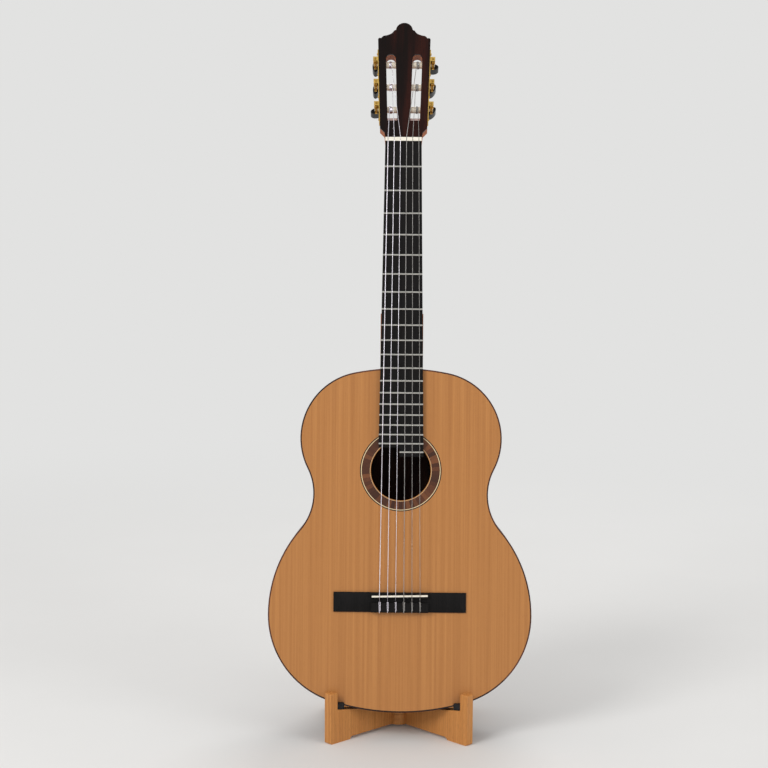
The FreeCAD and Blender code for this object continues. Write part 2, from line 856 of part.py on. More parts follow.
def make_saddle():
    body = new_body("saddle")
    floor = size("bridge_height") - size("saddle_slot_depth")
    plan = draw_saddle_plan(sketch_on(body, "XZ_Plane", "SaddlePlan", floor))
    strip = pad(body, plan, "Sizes.saddle_height - %g" % floor, "SaddleStrip")
    crest = []
    for index, edge in enumerate(strip.Shape.Edges, start=1):
        on_top = all(abs(point.Point.y + size("saddle_height")) < 0.01 for point in edge.Vertexes)
        if on_top and edge.Length > size("saddle_width") / 2:
            crest.append("Edge%d" % index)
    fillet = body.newObject("PartDesign::Fillet", "SaddleCrest")
    fillet.Base = (strip, crest)
    fillet.Radius = size("saddle_thickness") * 0.4
    node(body, "saddle", GUITAR_NODES)


# ---------------------------------------------------------------- head geometry

HEAD = FreeCAD.Placement(V(0, 0, NUT_BACK), FreeCAD.Rotation(X_AXIS, -size("head_tilt")))


def head_half_width(s):
    """Half the width of the head on its straight sides."""
    low = size("head_low_width") / 2
    top = size("head_top_width") / 2
    shoulder = size("head_shoulder")
    return low + (top - low) * (s - shoulder) / (head_corner() - shoulder)


def head_corner():
    return size("head_length") - size("crown_height")


def draw_head_outline(sketch, start):
    """Outline of the head: straight sides and a crown of a half round between two shoulders."""
    neck_half = size("nut_width") / 2
    low = size("head_low_width") / 2
    top = size("head_top_width") / 2
    corner = head_corner()
    crown = size("head_length")
    dome_radius = size("crown_radius")
    dome_base = crown - dome_radius + 1.1
    step = (dome_radius + 3.1, dome_base - 1.4)
    valley = (step[0] + 6.3, dome_base - 7.3)
    shelf = (top * 0.78, corner + 6.4)
    right = (
        (neck_half, start),
        (neck_half + 1.5, size("head_shoulder") * 0.55),
        (low, size("head_shoulder")),
        (top, corner),
        (top - 1.2, corner + 2.6, top - 4.3, corner + 2.4),
        (top - 6.2, corner + 4.8, shelf[0], shelf[1]),
        (shelf[0] - 4.0, shelf[1] + 0.7, valley[0], valley[1]),
        (step[0] + 1.9, step[1] - 3.0, step[0], step[1]),
        (dome_radius, dome_base),
        (0, crown),
    )
    points = [(0, start)] + [tuple(item) for item in right[:-1]]
    for side in (1, -1):
        here = V(0, start, 0)
        for item in points[1:]:
            there = V(side * item[-2], item[-1], 0)
            if len(item) == 2:
                sketch.addGeometry(Part.LineSegment(here, there))
            else:
                sketch.addGeometry(Part.Arc(here, V(side * item[0], item[1], 0), there))
            here = there
    left_end = V(-dome_radius, dome_base, 0)
    right_end = V(dome_radius, dome_base, 0)
    sketch.addGeometry(Part.Arc(left_end, V(0, crown, 0), right_end))
    return sketch


def slot_centre(s):
    """Distance of a slot's middle line from the centre line of the head."""
    low = size("slot_low_offset")
    high = size("slot_high_offset")
    return low + (high - low) * (s - size("slot_bottom")) / (size("slot_top") - size("slot_bottom"))


def draw_slots(sketch, bottom):
    """Two long slots, square at the bottom and round at the top."""
    half = size("slot_width") / 2
    top = size("slot_top") - half
    for side in (-1, 1):
        low = slot_centre(bottom)
        high = slot_centre(top)
        draw(sketch, (side * (low - half), bottom), (
            (side * (low + half), bottom),
            (side * (high + half), top),
            (side * high, top + half, side * (high - half), top),
            (side * (low - half), bottom),
        ))
    return sketch


def roller_s(row):
    """Distance of a row of rollers from the nut; row 0 is the lowest."""
    return size("roller_first") + row * size("roller_pitch")


def roller_inner(s):
    """Inner end of a roller, in its blind seat in the middle web."""
    return slot_centre(s) - size("slot_width") / 2 - size("roller_seat")


def make_head_veneer():
    body = new_body("head_veneer")
    start = size("veneer_thickness") * math.tan(math.radians(size("head_tilt"))) + 0.05
    line = draw_head_outline(sketch_on(body, "XZ_Plane", "VeneerOutline"), start)
    pad(body, line, "Sizes.veneer_thickness", "VeneerPlate", reverse=True)
    slots = draw_slots(sketch_on(body, "XZ_Plane", "VeneerSlots"), size("slot_bottom"))
    pocket(body, slots, "Sizes.veneer_thickness + 1", "VeneerSlotCuts")
    node(body, "head_veneer", GUITAR_NODES, HEAD)


def make_head_core():
    """Head under its veneer, with the slots, their ramps and the bores for the rollers."""
    body = new_body("HeadCore")
    lift = -size("veneer_thickness")
    depth = "Sizes.head_thickness - Sizes.veneer_thickness"
    line = draw_head_outline(sketch_on(body, "XZ_Plane", "CoreOutline", lift), -8.0)
    pad(body, line, depth, "CorePlate", reverse=True)
    ramp_end = size("slot_bottom") + size("slot_ramp")
    slots = draw_slots(sketch_on(body, "XZ_Plane", "CoreSlots", lift), ramp_end)
    pocket(body, slots, "Sizes.head_thickness", "CoreSlotCuts")
    for side in (-1, 1):
        tag = "Bass" if side < 0 else "Treble"
        middle = slot_centre(size("slot_bottom") + size("slot_ramp") / 2)
        ramp = sketch_on(body, "YZ_Plane", "Ramp" + tag, side * middle)
        draw(ramp, (-1, size("slot_bottom")), (
            (size("veneer_thickness"), size("slot_bottom")),
            (size("head_thickness"), ramp_end),
            (size("head_thickness"), ramp_end + 4),
            (-1, ramp_end + 4),
            (-1, size("slot_bottom")),
        ))
        pocket(body, ramp, "Sizes.slot_width", "RampCut" + tag, midplane=True)
        for row in range(3):
            s = roller_s(row)
            bore = sketch_on(body, "YZ_Plane", "RollerBore%s%d" % (tag, row), side * roller_inner(s))
            draw_circle(bore, size("roller_depth"), s, size("roller_radius") + size("running_clearance"))
            pocket(body, bore, "Sizes.head_top_width", "RollerBoreCut%s%d" % (tag, row), reverse=(side > 0))
    holes = screw_holes(-1, "CoreBass") + screw_holes(1, "CoreTreble")
    drilled = cut("HeadDrilled", body, fuse("HeadScrewHoles", holes))
    drilled.Placement = HEAD
    return drilled


# ---------------------------------------------------------------- neck and heel

def draw_neck_section(sketch, half, thickness):
    """Flat under the fretboard, and a half ellipse behind two short straight sides."""
    side = size("neck_side_height")
    sketch.addGeometry(Part.LineSegment(V(-half, 0, 0), V(half, 0, 0)))
    sketch.addGeometry(Part.LineSegment(V(half, 0, 0), V(half, side, 0)))
    sketch.addGeometry(Part.LineSegment(V(-half, 0, 0), V(-half, side, 0)))
    ellipse = Part.Ellipse(V(0, side, 0), half, thickness - side)
    sketch.addGeometry(Part.ArcOfEllipse(ellipse, 0, math.pi))
    return sketch


def make_neck():
    shaft = new_body("NeckShaft")
    low_z = size("neck_taper_start")
    low = sketch_on(shaft, "XY_Plane", "NeckLowSection", low_z)
    draw_neck_section(low, board_half_width(low_z), size("neck_thickness_join"))
    top = sketch_on(shaft, "XY_Plane", "NeckTopSection", NUT_BACK)
    draw_neck_section(top, size("nut_width") / 2, size("neck_thickness_nut"))
    loft = shaft.newObject("PartDesign::AdditiveLoft", "NeckTaper")
    loft.Profile = low
    loft.Sections = [top]
    loft.Ruled = True
    foot = back_surface(0, 0) - size("heel_cap_thickness")
    thick = size("neck_thickness_join")
    run = size("heel_run")
    length = size("heel_foot_length")
    overlap = size("heel_overlap")
    side = new_body("HeelSide")
    line = sketch_on(side, "YZ_Plane", "HeelSideLine")
    draw(line, (0, -overlap), (
        (0, run),
        (thick - 1.0, run),
        (thick + 6.0, run - 22.0, thick + 20.0, run * 0.5),
        (foot * 0.72, length + 4.0, foot, length),
        (foot, -overlap),
        (0, -overlap),
    ))
    pad(side, line, "Sizes.join_width + 6", "HeelSideBlock", midplane=True)
    plan = new_body("HeelPlan")
    shape = sketch_on(plan, "XY_Plane", "HeelPlanLine", -overlap)
    half = board_half_width(0)
    toe = size("heel_foot_width") / 2
    draw(shape, (-half, 0), (
        (half, 0),
        (half, 3.0),
        (half * 0.74, foot * 0.30, (half + toe) * 0.42, foot * 0.55),
        (toe + 1.0, foot * 0.8, toe, foot),
        (-toe, foot),
        (-toe - 1.0, foot * 0.8, -(half + toe) * 0.42, foot * 0.55),
        (-half * 0.74, foot * 0.30, -half, 3.0),
        (-half, 0),
    ))
    pad(plan, shape, "Sizes.heel_run + Sizes.heel_overlap", "HeelPlanBlock")
    heel = common("HeelRaw", [side, plan])
    whole = fuse("NeckRaw", [shaft, heel, make_head_core()])
    line = draw_outline(front_sketch("NeckTrimLine", -1.0), 0)
    trimmed = cut("Neck", whole, prism("NeckTrim", line, BEYOND))
    node(trimmed, "neck", GUITAR_NODES)


def make_heel_cap():
    half = size("heel_foot_width") / 2
    depth = back_surface(0, 0) - size("heel_cap_thickness")
    body = new_body("HeelCapPlate")
    line = sketch_on(body, "XZ_Plane", "HeelCapLine", -depth)
    length = size("heel_foot_length")
    shoulder = length - size("heel_foot_width") * 0.19
    overlap = size("heel_overlap")
    draw(line, (-half, -overlap), (
        (half, -overlap),
        (half, shoulder),
        (0, length, -half, shoulder),
        (-half, -overlap),
    ))
    pad(body, line, "Sizes.heel_cap_thickness", "HeelCapPad", reverse=True)
    trim = draw_outline(front_sketch("HeelCapTrimLine", -1.0), 0)
    node(cut("HeelCap", body, prism("HeelCapTrim", trim, BEYOND)), "heel_cap", GUITAR_NODES)


# ---------------------------------------------------------------- tuners

def side_of(number):
    """Strings 6, 5 and 4 are on the bass side, 3, 2 and 1 on the treble side."""
    return -1 if number > 3 else 1


def row_of(number):
    """Outer strings go to the lowest rollers and the middle pair to the top ones."""
    return {6: 0, 5: 1, 4: 2, 3: 2, 2: 1, 1: 0}[number]


def plate_face(s):
    """Outer face of a tuner plate, which lies on the slanting side of the head."""
    return head_half_width(s) + size("plate_thickness") / math.cos(plate_slant())


def plate_slant():
    rise = head_half_width(1.0) - head_half_width(0.0)
    return math.atan(rise)


def gear_inner(s):
    return plate_face(s) + size("gear_gap")


def make_tuner_plate(side, label):
    """Brass plate on the side of the head, with two bored ears for each worm."""
    low_s = roller_s(0) - size("plate_margin")
    high_s = roller_s(2) + size("plate_margin")
    low_y = size("roller_depth") - size("plate_height") / 2
    length = (high_s - low_s) / math.cos(plate_slant())
    plate = block("PlateStrip_" + label, (0, 0, 0),
                  ("Sizes.plate_thickness", "Sizes.plate_height", length))
    turn = FreeCAD.Rotation(Y_AXIS, math.degrees(plate_slant()) * side)
    corner = V(side * head_half_width(low_s), low_y, low_s)
    if side < 0:
        corner = corner - turn.multVec(V(size("plate_thickness"), 0, 0))
    plate.Placement = FreeCAD.Placement(corner, turn)
    parts = [plate]
    tools = []
    for row in range(3):
        s = roller_s(row)
        middle = gear_inner(s) + size("gear_width") / 2
        worm_s = s + size("worm_distance")
        inner = plate_face(worm_s) - size("plate_thickness") / 2
        outer = middle + size("worm_tip_radius")
        for end in (-1, 1):
            edge = size("roller_depth") + end * size("ear_offset")
            start_y = edge if end > 0 else edge - size("ear_thickness")
            start_x = inner if side > 0 else -outer
            low = (start_x, start_y, worm_s - size("ear_height") / 2)
            ear = block("Ear_%s_%d_%d" % (label, row, end), low,
                        (outer - inner, "Sizes.ear_thickness", "Sizes.ear_height"))
            parts.append(ear)
        radius = size("shaft_radius") + size("running_clearance")
        tools.append(rod("EarBore_%s_%d" % (label, row), (side * middle, 0, worm_s), Y_AXIS, radius, BEYOND))
        spindle = size("spindle_radius") + size("running_clearance")
        start = (0, size("roller_depth"), s)
        tools.append(rod("PlateBore_%s_%d" % (label, row), start, X_AXIS * side, spindle, BEYOND))
    tools.extend(screw_holes(side, "Plate" + label))
    solid = cut("Plate_" + label, fuse("PlateRaw_" + label, parts), fuse("PlateTools_" + label, tools))
    node(solid, label, GUITAR_NODES, HEAD)


def screw_places():
    """Distances of the plate screws from the nut: one below each worm and one at the top."""
    below = [roller_s(row) - size("screw_below_roller") for row in range(3)]
    return below + [roller_s(2) + size("screw_above_roller")]


def screw_holes(side, tag):
    """Pilot holes for the screws of one plate, in the head frame."""
    holes = []
    for index, s in enumerate(screw_places()):
        start = (side * (head_half_width(s) - size("screw_length")), size("roller_depth"), s)
        holes.append(rod("ScrewHole_%s_%d" % (tag, index), start, X_AXIS * side, "Sizes.screw_radius",
                         "Sizes.screw_length + Sizes.plate_thickness * 4"))
    return holes


def make_plate_screws():
    """Flat screw heads between the worms, on both plates."""
    screws = []
    for side in (-1, 1):
        for s in screw_places():
            height = size("screw_head_height")
            head = Part.makeCylinder(size("screw_head_radius"), height, ORIGIN, X_AXIS * side)
            length = size("screw_length") + plate_face(s) - head_half_width(s)
            shank = Part.makeCylinder(size("screw_radius"), length, ORIGIN, X_AXIS * -side)
            screw = head.fuse(shank)
            screw.translate(V(side * (plate_face(s) + size("screw_head_gap")), size("roller_depth"), s))
            screws.append(screw)
    made = fixed_shape("PlateScrews", Part.makeCompound(screws))
    node(made, "plate_screws", GUITAR_NODES, HEAD)


# Pitch and height of the turns on a roller, in string radii.
WINDING_PITCH = 2.15
WINDING_LIFT = 0.75


def make_roller(number):
    """Bone roller with its spindle and the turns of string that are wound on it."""
    side = side_of(number)
    s = roller_s(row_of(number))
    body = new_body("Roller%d" % number)
    profile = sketch_on(body, "XY_Plane", "RollerProfile%d" % number)
    inner = roller_inner(s) + size("end_clearance")
    outer = head_half_width(s) - size("end_clearance")
    end = gear_inner(s) + size("gear_width") + size("spindle_end")
    radius = size("roller_radius")
    spindle = size("spindle_radius")
    draw(profile, (side * inner, 0), (
        (side * inner, radius),
        (side * outer, radius),
        (side * outer, spindle),
        (side * end, spindle),
        (side * end, 0),
        (side * inner, 0),
    ))
    turned = body.newObject("PartDesign::Revolution", "RollerTurned%d" % number)
    turned.Profile = profile
    turned.ReferenceAxis = (profile, ["H_Axis"])
    turned.Angle = 360
    string = STRINGS[6 - number]
    wire = string["radius"]
    coils = sketch_on(body, "XY_Plane", "WindingProfile%d" % number)
    for turn in range(string["turns"]):
        offset = wire * (2 + turn * WINDING_PITCH) + size("winding_start_gap")
        x = string["roller_x"] + string["wind_side"] * offset
        draw_circle(coils, x, radius + wire * WINDING_LIFT, wire)
    wound = body.newObject("PartDesign::Revolution", "Windings%d" % number)
    wound.Profile = coils
    wound.ReferenceAxis = (coils, ["H_Axis"])
    wound.Angle = 360
    local = FreeCAD.Placement(V(0, size("roller_depth"), s), FreeCAD.Rotation())
    node(body, "roller_%d" % number, GUITAR_NODES, HEAD * local)


def make_gear(number):
    """Wheel whose gaps are as wide as the worm's thread; a gap faces the worm."""
    side = side_of(number)
    s = roller_s(row_of(number))
    body = new_body("Gear%d" % number)
    start = gear_inner(s)
    teeth = int(round(size("gear_teeth")))
    root = size("gear_root_radius")
    tip = size("gear_tip_radius")
    disc = sketch_on(body, "YZ_Plane", "GearDisc%d" % number, side * start)
    draw_circle(disc, 0, 0, root)
    draw_circle(disc, 0, 0, size("spindle_radius"))
    pad(body, disc, "Sizes.gear_width", "GearDiscPad%d" % number, reverse=(side < 0))
    half = size("gear_tooth_width") / 2
    tooth = sketch_on(body, "YZ_Plane", "GearTooth%d" % number, side * start)
    draw(tooth, (root - 0.3, -half * 1.7), (
        (root, -half * 1.7),
        (tip, -half * 0.55),
        (tip, half * 0.55),
        (root, half * 1.7),
        (root - 0.3, half * 1.7),
        (root - 0.3, -half * 1.7),
    ))
    tooth.AttachmentOffset = FreeCAD.Placement(
        V(0, 0, side * start), FreeCAD.Rotation(Z_AXIS, 90.0 - 180.0 / teeth))
    made = pad(body, tooth, "Sizes.gear_width", "GearToothPad%d" % number, reverse=(side < 0))
    pattern = body.newObject("PartDesign::PolarPattern", "GearTeeth%d" % number)
    pattern.Originals = [made]
    pattern.Axis = (disc, ["N_Axis"])
    pattern.Angle = 360
    pattern.setExpression("Occurrences", "Sizes.gear_teeth")
    body.Tip = pattern
    DOC.recompute()
    local = FreeCAD.Placement(V(0, size("roller_depth"), s), FreeCAD.Rotation())
    node(body, "gear_%d" % number, GUITAR_NODES, HEAD * local)


# Share of a button's length that its shaft goes into.
SHAFT_SHARE = 0.7


def worm_placement(number):
    """Frame of one worm: its Z runs to the rear, its X points down at the gear."""
    s = roller_s(row_of(number))
    middle = side_of(number) * (gear_inner(s) + size("gear_width") / 2)
    turn = FreeCAD.Rotation(V(0, 0, -1), V(-1, 0, 0), V(0, 1, 0), "ZXY")
    return HEAD * FreeCAD.Placement(V(middle, 0, s + size("worm_distance")), turn)


def make_worm(number):
    """Right-hand worm on the shaft that the button turns."""
    body = new_body("Worm%d" % number)
    lead = math.pi * size("gear_module")
    depth = size("roller_depth")
    ear = size("ear_offset")
    thick = size("ear_thickness")
    core = size("worm_core_radius")
    shaft = size("shaft_radius")
    collar = size("collar_radius")
    play = size("end_clearance")
    ear_out = ear + thick
    tail = depth - ear_out - size("shaft_end")
    collar_start = depth + ear_out + play
    collar_end = collar_start + size("collar_width")
    button_end = size("button_start") + size("button_length") * SHAFT_SHARE
    profile = sketch_on(body, "XZ_Plane", "WormProfile%d" % number)
    draw(profile, (0, tail), (
        (shaft, tail),
        (shaft, depth - ear + play),
        (core, depth - ear + play),
        (core, depth + ear - play),
        (shaft, depth + ear - play),
        (shaft, collar_start),
        (collar, collar_start),
        (collar, collar_end),
        (shaft, collar_end),
        (shaft, button_end),
        (0, button_end),
        (0, tail),
    ))
    turned = body.newObject("PartDesign::Revolution", "WormTurned%d" % number)
    turned.Profile = profile
    turned.ReferenceAxis = (profile, ["V_Axis"])
    turned.Angle = 360
    DOC.recompute()
    half = size("worm_thread_width") / 2
    tip = size("worm_tip_radius")
    start = depth - lead * size("worm_turns") / 2
    if int(round(size("worm_turns"))) % 2:
        start = depth - lead * (size("worm_turns") - 1) / 2
    thread = sketch_on(body, "XZ_Plane", "ThreadProfile%d" % number)
    draw(thread, (core - 0.4, start - half * 1.5), (
        (tip, start - half * 0.55),
        (tip, start + half * 0.55),
        (core - 0.4, start + half * 1.5),
        (core - 0.4, start - half * 1.5),
    ))
    helix = body.newObject("PartDesign::AdditiveHelix", "Thread%d" % number)
    helix.Profile = thread
    axis = [item for item in body.Origin.OriginFeatures if item.Role == "Z_Axis"][0]
    helix.ReferenceAxis = (axis, [""])
    helix.Mode = 0
    helix.Pitch = lead
    helix.Height = lead * (size("worm_turns") - 0.4)
    DOC.recompute()
    node(body, "worm_%d" % number, GUITAR_NODES, worm_placement(number))


BUTTON_TURN = {6: 80.0, 5: 8.0, 4: 0.0, 3: 88.0, 2: 32.0, 1: 48.0}


def make_button(number):
    """Oval button with rounded ends and a short collar towards the head."""
    body = new_body("Button%d" % number)
    start = size("button_start")
    neck_start = start - size("button_neck_length")
    neck = sketch_on(body, "XY_Plane", "ButtonNeck%d" % number, neck_start)
    draw_circle(neck, 0, 0, size("button_neck_radius"))
    pad(body, neck, "Sizes.button_neck_length + 1", "ButtonNeckPad%d" % number)
    oval = sketch_on(body, "XY_Plane", "ButtonOval%d" % number, start)
    oval.addGeometry(Part.Ellipse(V(0, 0, 0), size("button_width") / 2, size("button_thickness") / 2))
    whole = pad(body, oval, "Sizes.button_length", "ButtonPad%d" % number)
    ends = []
    for index, edge in enumerate(whole.Shape.Edges, start=1):
        flat = abs(edge.BoundBox.ZLength) < 0.01
        rise = edge.BoundBox.ZMin - start
        at_end = min(abs(rise), abs(rise - size("button_length")))
        if flat and at_end < 0.01 and edge.BoundBox.XLength > size("button_width") * 0.9:
            ends.append("Edge%d" % index)
    fillet = body.newObject("PartDesign::Fillet", "ButtonRound%d" % number)
    fillet.Base = (whole, ends)
    fillet.Radius = 0.75 * size("button_thickness") ** 2 / (2 * size("button_width"))
    DOC.recompute()
    hole = sketch_on(body, "XY_Plane", "ButtonHole%d" % number, neck_start)
    draw_circle(hole, 0, 0, size("shaft_radius"))
    deep = size("button_length") * SHAFT_SHARE + size("button_neck_length")
    pocket(body, hole, deep, "ButtonHoleCut%d" % number, reverse=True)
    turn = FreeCAD.Placement(V(0, 0, 0), FreeCAD.Rotation(Z_AXIS, BUTTON_TURN[number]))
    node(body, "button_%d" % number, GUITAR_NODES, worm_placement(number) * turn)


# ---------------------------------------------------------------- strings

# Number, thickness and turns of each string, from the bass side.
STRING_GAUGES = ((6, 1.10, 3), (5, 0.90, 4), (4, 0.76, 4), (3, 1.02, 3), (2, 0.84, 4), (1, 0.72, 4))

# How far outside the middle of its slot a string meets its roller, by row.
ROLLER_OFFSETS = (3.6, -0.9, -0.5)


def string_data():
    """One entry for each string, from the bass side: gauge, places and turns on its roller."""
    strings = []
    for index, (number, gauge, turns) in enumerate(STRING_GAUGES):
        place = index / 5 - 0.5
        side = side_of(number)
        row = row_of(number)
        strings.append({
            "number": number,
            "radius": gauge / 2,
            "nut_x": place * size("nut_spread"),
            "saddle_x": place * size("saddle_spread"),
            "roller_x": side * (slot_centre(roller_s(row)) + ROLLER_OFFSETS[row]),
            "turns": turns,
            "wind_side": -side if row == 0 else side,
        })
    return strings


STRINGS = string_data()


def string_route(string):
    """Points of one string: knot, tie block, saddle, nut, and the tangent point at its roller."""
    radius = string["radius"]
    nut = V(string["nut_x"], -size("nut_slot_height") - radius, NUT_FRONT + 0.4)
    axis = HEAD.multVec(V(0, size("roller_depth"), roller_s(row_of(string["number"]))))
    reach = size("roller_radius") + radius + 0.1
    across = V(0, axis.y - nut.y, axis.z - nut.z)
    turn = math.asin(reach / across.Length)
    heading = math.atan2(across.y, across.z) - turn
    length = math.sqrt(across.Length ** 2 - reach ** 2)
    end = V(string["roller_x"], nut.y + length * math.sin(heading), nut.z + length * math.cos(heading))
    rear_run = size("nut_length") + 0.4
    rear = V(nut.x, nut.y + rear_run * math.tan(heading), nut.z + rear_run)
    x = string["saddle_x"]
    top = -size("bridge_height") - radius
    hole = -size("tie_hole_height")
    tie = bridge_rear() + size("tie_block_length")
    behind = bridge_rear() - radius - 0.1
    before = tie + radius + 0.1
    beside = x + 2.3 * radius
    crest = size("saddle_thickness") * 0.2
    saddle = V(x, -size("saddle_height") - radius - 0.12, saddle_z(x) - crest)
    knot = [
        V(beside, top, bridge_rear() + 2.5),
        V(beside, top, before),
        V(beside, top + 1.8, before + 0.3),
        V(x - 2.0 * radius, top + 2.2, before + 0.6),
        V(x - 1.2 * radius, top, before),
        V(x, top, behind + 1.0),
        V(x, top + 1.2, behind),
        V(x, hole, behind),
        V(x, hole, tie + 0.6),
    ]
    return {"knot": knot, "saddle": saddle, "nut": nut, "nut_rear": rear, "end": end}


def bent_wire(points, radius):
    """Round wire swept through a chain of points, mitred at each bend."""
    path = Part.makePolygon(points)
    section = Part.Wire(Part.Circle(points[0], points[1] - points[0], radius).toShape())
    mitred = 1
    return path.makePipeShell([section], True, False, mitred)


def make_string(string):
    route = string_route(string)
    points = route["knot"] + [route["saddle"], route["nut"], route["nut_rear"], route["end"]]
    number = string["number"]
    made = fixed_shape("String%d" % number, bent_wire(points, string["radius"]))
    node(made, "string_%d" % number, GUITAR_NODES)


# ---------------------------------------------------------------- stand

def guitar_placement():
    """Frame of the guitar in the stand: leaning back, its lowest point over the shelves."""
    turn = FreeCAD.Rotation(X_AXIS, -size("lean_angle"))
    foot = turn.multVec(V(0, 0, -size("body_length")))
    return FreeCAD.Placement(V(0, size("guitar_setback"), size("guitar_height")) - foot, turn)


GUITAR = guitar_placement()


def crossing_y():
    """The hinge pin stands behind the posts, where the two boards cross at right angles."""
    return (size("leg_reach") - size("leg_gap")) * math.sqrt(0.5)


def leg_placement(side):
    """Placement of a leg drawn for the treble side, or its mirror image for the bass side."""
    angle = -45.0 if side > 0 else -135.0
    return FreeCAD.Placement(V(0, crossing_y(), 0), FreeCAD.Rotation(Z_AXIS, angle))


def front_profile(sketch):
    """Front half of a leg: foot, lip post, and the shelf that slopes down to the hinge."""
    reach = size("leg_reach")
    post = reach - size("post_length")
    top = size("post_height")
    relief = size("foot_relief")
    foot = reach - size("foot_length")
    draw(sketch, (0, relief), (
        (foot - 8, relief),
        (foot - 2.5, relief - 0.8, foot, 0),
        (reach - 2, 0),
        (reach, 2),
        (reach, top - 3),
        (reach - 0.9, top - 0.9, reach - 3, top),
        (post + 3, top),
        (post + 0.9, top - 0.9, post, top - 3),
        (post, size("shelf_front_height")),
        (0, size("shelf_rear_height")),
        (0, relief),
    ))


# Where the rounded corners at the two ends of an arm's front edge meet its straight run.
ARM_CORNER_LOW = 12.0
ARM_CORNER_HIGH = 14.0


def back_distance(z):
    """How far the back of the leaning sound box is behind the posts, at one height."""
    lean = math.radians(size("lean_angle"))
    depth = size("back_depth")
    for step in range(3):
        along = (z - GUITAR.Base.z + depth * math.sin(lean)) / math.cos(lean)
        depth = back_surface(0, along)
    return GUITAR.Base.y + depth * math.cos(lean) + along * math.sin(lean)


def arm_reach(z, clearance):
    """Distance from the hinge pin at which an arm's nearer corner clears the back."""
    behind = back_distance(z) + clearance - crossing_y()
    return behind * math.sqrt(2) + size("leg_gap") + size("leg_thickness")


def arm_foot_reach():
    return arm_reach(size("shelf_rear_height") + ARM_CORNER_LOW, size("arm_foot_clearance"))


def arm_head_reach():
    return arm_reach(size("arm_height") - ARM_CORNER_HIGH, size("arm_head_clearance"))


def rear_profile(sketch):
    """Rear half of a leg: foot, and the arm that rises behind the sound box."""
    reach = size("leg_reach")
    relief = size("foot_relief")
    foot = reach - size("foot_length")
    shelf = size("shelf_rear_height")
    low = arm_foot_reach()
    high = arm_head_reach()
    top = size("arm_height")
    outer = high + size("arm_top_width")
    draw(sketch, (0, relief), (
        (0, shelf),
        (-(low - 12), shelf),
        (-(low - 3.5), shelf + 3, -low, shelf + ARM_CORNER_LOW),
        (-high, top - ARM_CORNER_HIGH),
        (-(high + 3), top - 3, -(high + ARM_CORNER_HIGH), top),
        (-(outer - 14), top),
        (-(outer - 2), top - 5, -outer, top - 16),
        (-(outer + 4), top * 0.45, -reach, 12),
        (-reach, 2),
        (-(reach - 2), 0),
        (-foot, 0),
        (-(foot - 2.5), relief - 0.8, -(foot - 8), relief),
        (0, relief),
    ))


def leg_half(side, name, profile, outward):
    """One flat half of a leg, on the given side of the plane through the hinge pin."""
    body = new_body(name)
    gap = size("leg_gap")
    sign = outward * side
    sketch = sketch_on(body, "XZ_Plane", name + "Line", -sign * gap)
    profile(sketch)
    made = pad(body, sketch, "Sizes.leg_thickness", name + "Pad", reverse=(sign > 0))
    if outward > 0:
        round_edges(body, made, name)
    return body


def round_edges(body, made, name):
    """Ease the long upright edges of a lip post."""
    edges = []
    for index, edge in enumerate(made.Shape.Edges, start=1):
        along_face = edge.BoundBox.YLength < 0.01
        long_rise = edge.BoundBox.ZLength > size("post_length")
        if along_face and long_rise and edge.BoundBox.ZMax > size("shelf_front_height") + 10.0:
            edges.append("Edge%d" % index)
    fillet = body.newObject("PartDesign::Fillet", name + "Round")
    fillet.Base = (made, edges)
    give(fillet, "Radius", "Sizes.edge_round")
    DOC.recompute()


def knuckle_levels():
    """Heights where the knuckles of the two legs change over."""
    low = size("foot_relief")
    tall = size("knuckle_height")
    return (low, low + tall, size("shelf_rear_height") - tall, size("shelf_rear_height"))


def make_leg(side, label):
    """Two offset halves joined by knuckles around the hinge pin."""
    front = leg_half(side, "LegFront_" + label, front_profile, 1)
    rear = leg_half(side, "LegRear_" + label, rear_profile, -1)
    low, first, second, high = knuckle_levels()
    radius = size("leg_gap") + size("leg_thickness")
    clearance = size("end_clearance")
    gap = clearance / 2
    if side < 0:
        own = ((low, first - gap), (second + gap, high))
        other = ((first - gap, second + gap),)
    else:
        own = ((first + gap, second - gap),)
        other = ((low - 1, first + gap), (second - gap, high + 1))
    parts = [front, rear]
    tools = []
    for index, (start, end) in enumerate(own):
        parts.append(rod("Knuckle_%s_%d" % (label, index), (0, 0, start), Z_AXIS, radius, end - start))
    for index, (start, end) in enumerate(other):
        reach = radius + clearance
        tools.append(block("Relief_%s_%d" % (label, index), (-reach, -reach, start),
                           (2 * reach, 2 * reach, end - start)))
    relieved = []
    tool = fuse("Reliefs_" + label, tools) if len(tools) > 1 else tools[0]
    for part in parts[:2]:
        relieved.append(cut(part.Name + "Relieved", part, tool))
    whole = fuse("LegRaw_" + label, relieved + parts[2:])
    shaft = rod("PinShaft_" + label, (0, 0, -1), Z_AXIS,
                "Sizes.pin_radius + Sizes.running_clearance", "Sizes.shelf_rear_height + 10")
    sink = rod("PinSink_" + label, (0, 0, high), Z_AXIS,
               "Sizes.pin_head_radius + Sizes.end_clearance", "Sizes.pin_head_height + 8")
    solid = cut("Leg_" + label, whole, fuse("PinBore_" + label, [shaft, sink]))
    node(solid, label, STAND_NODES, leg_placement(side))


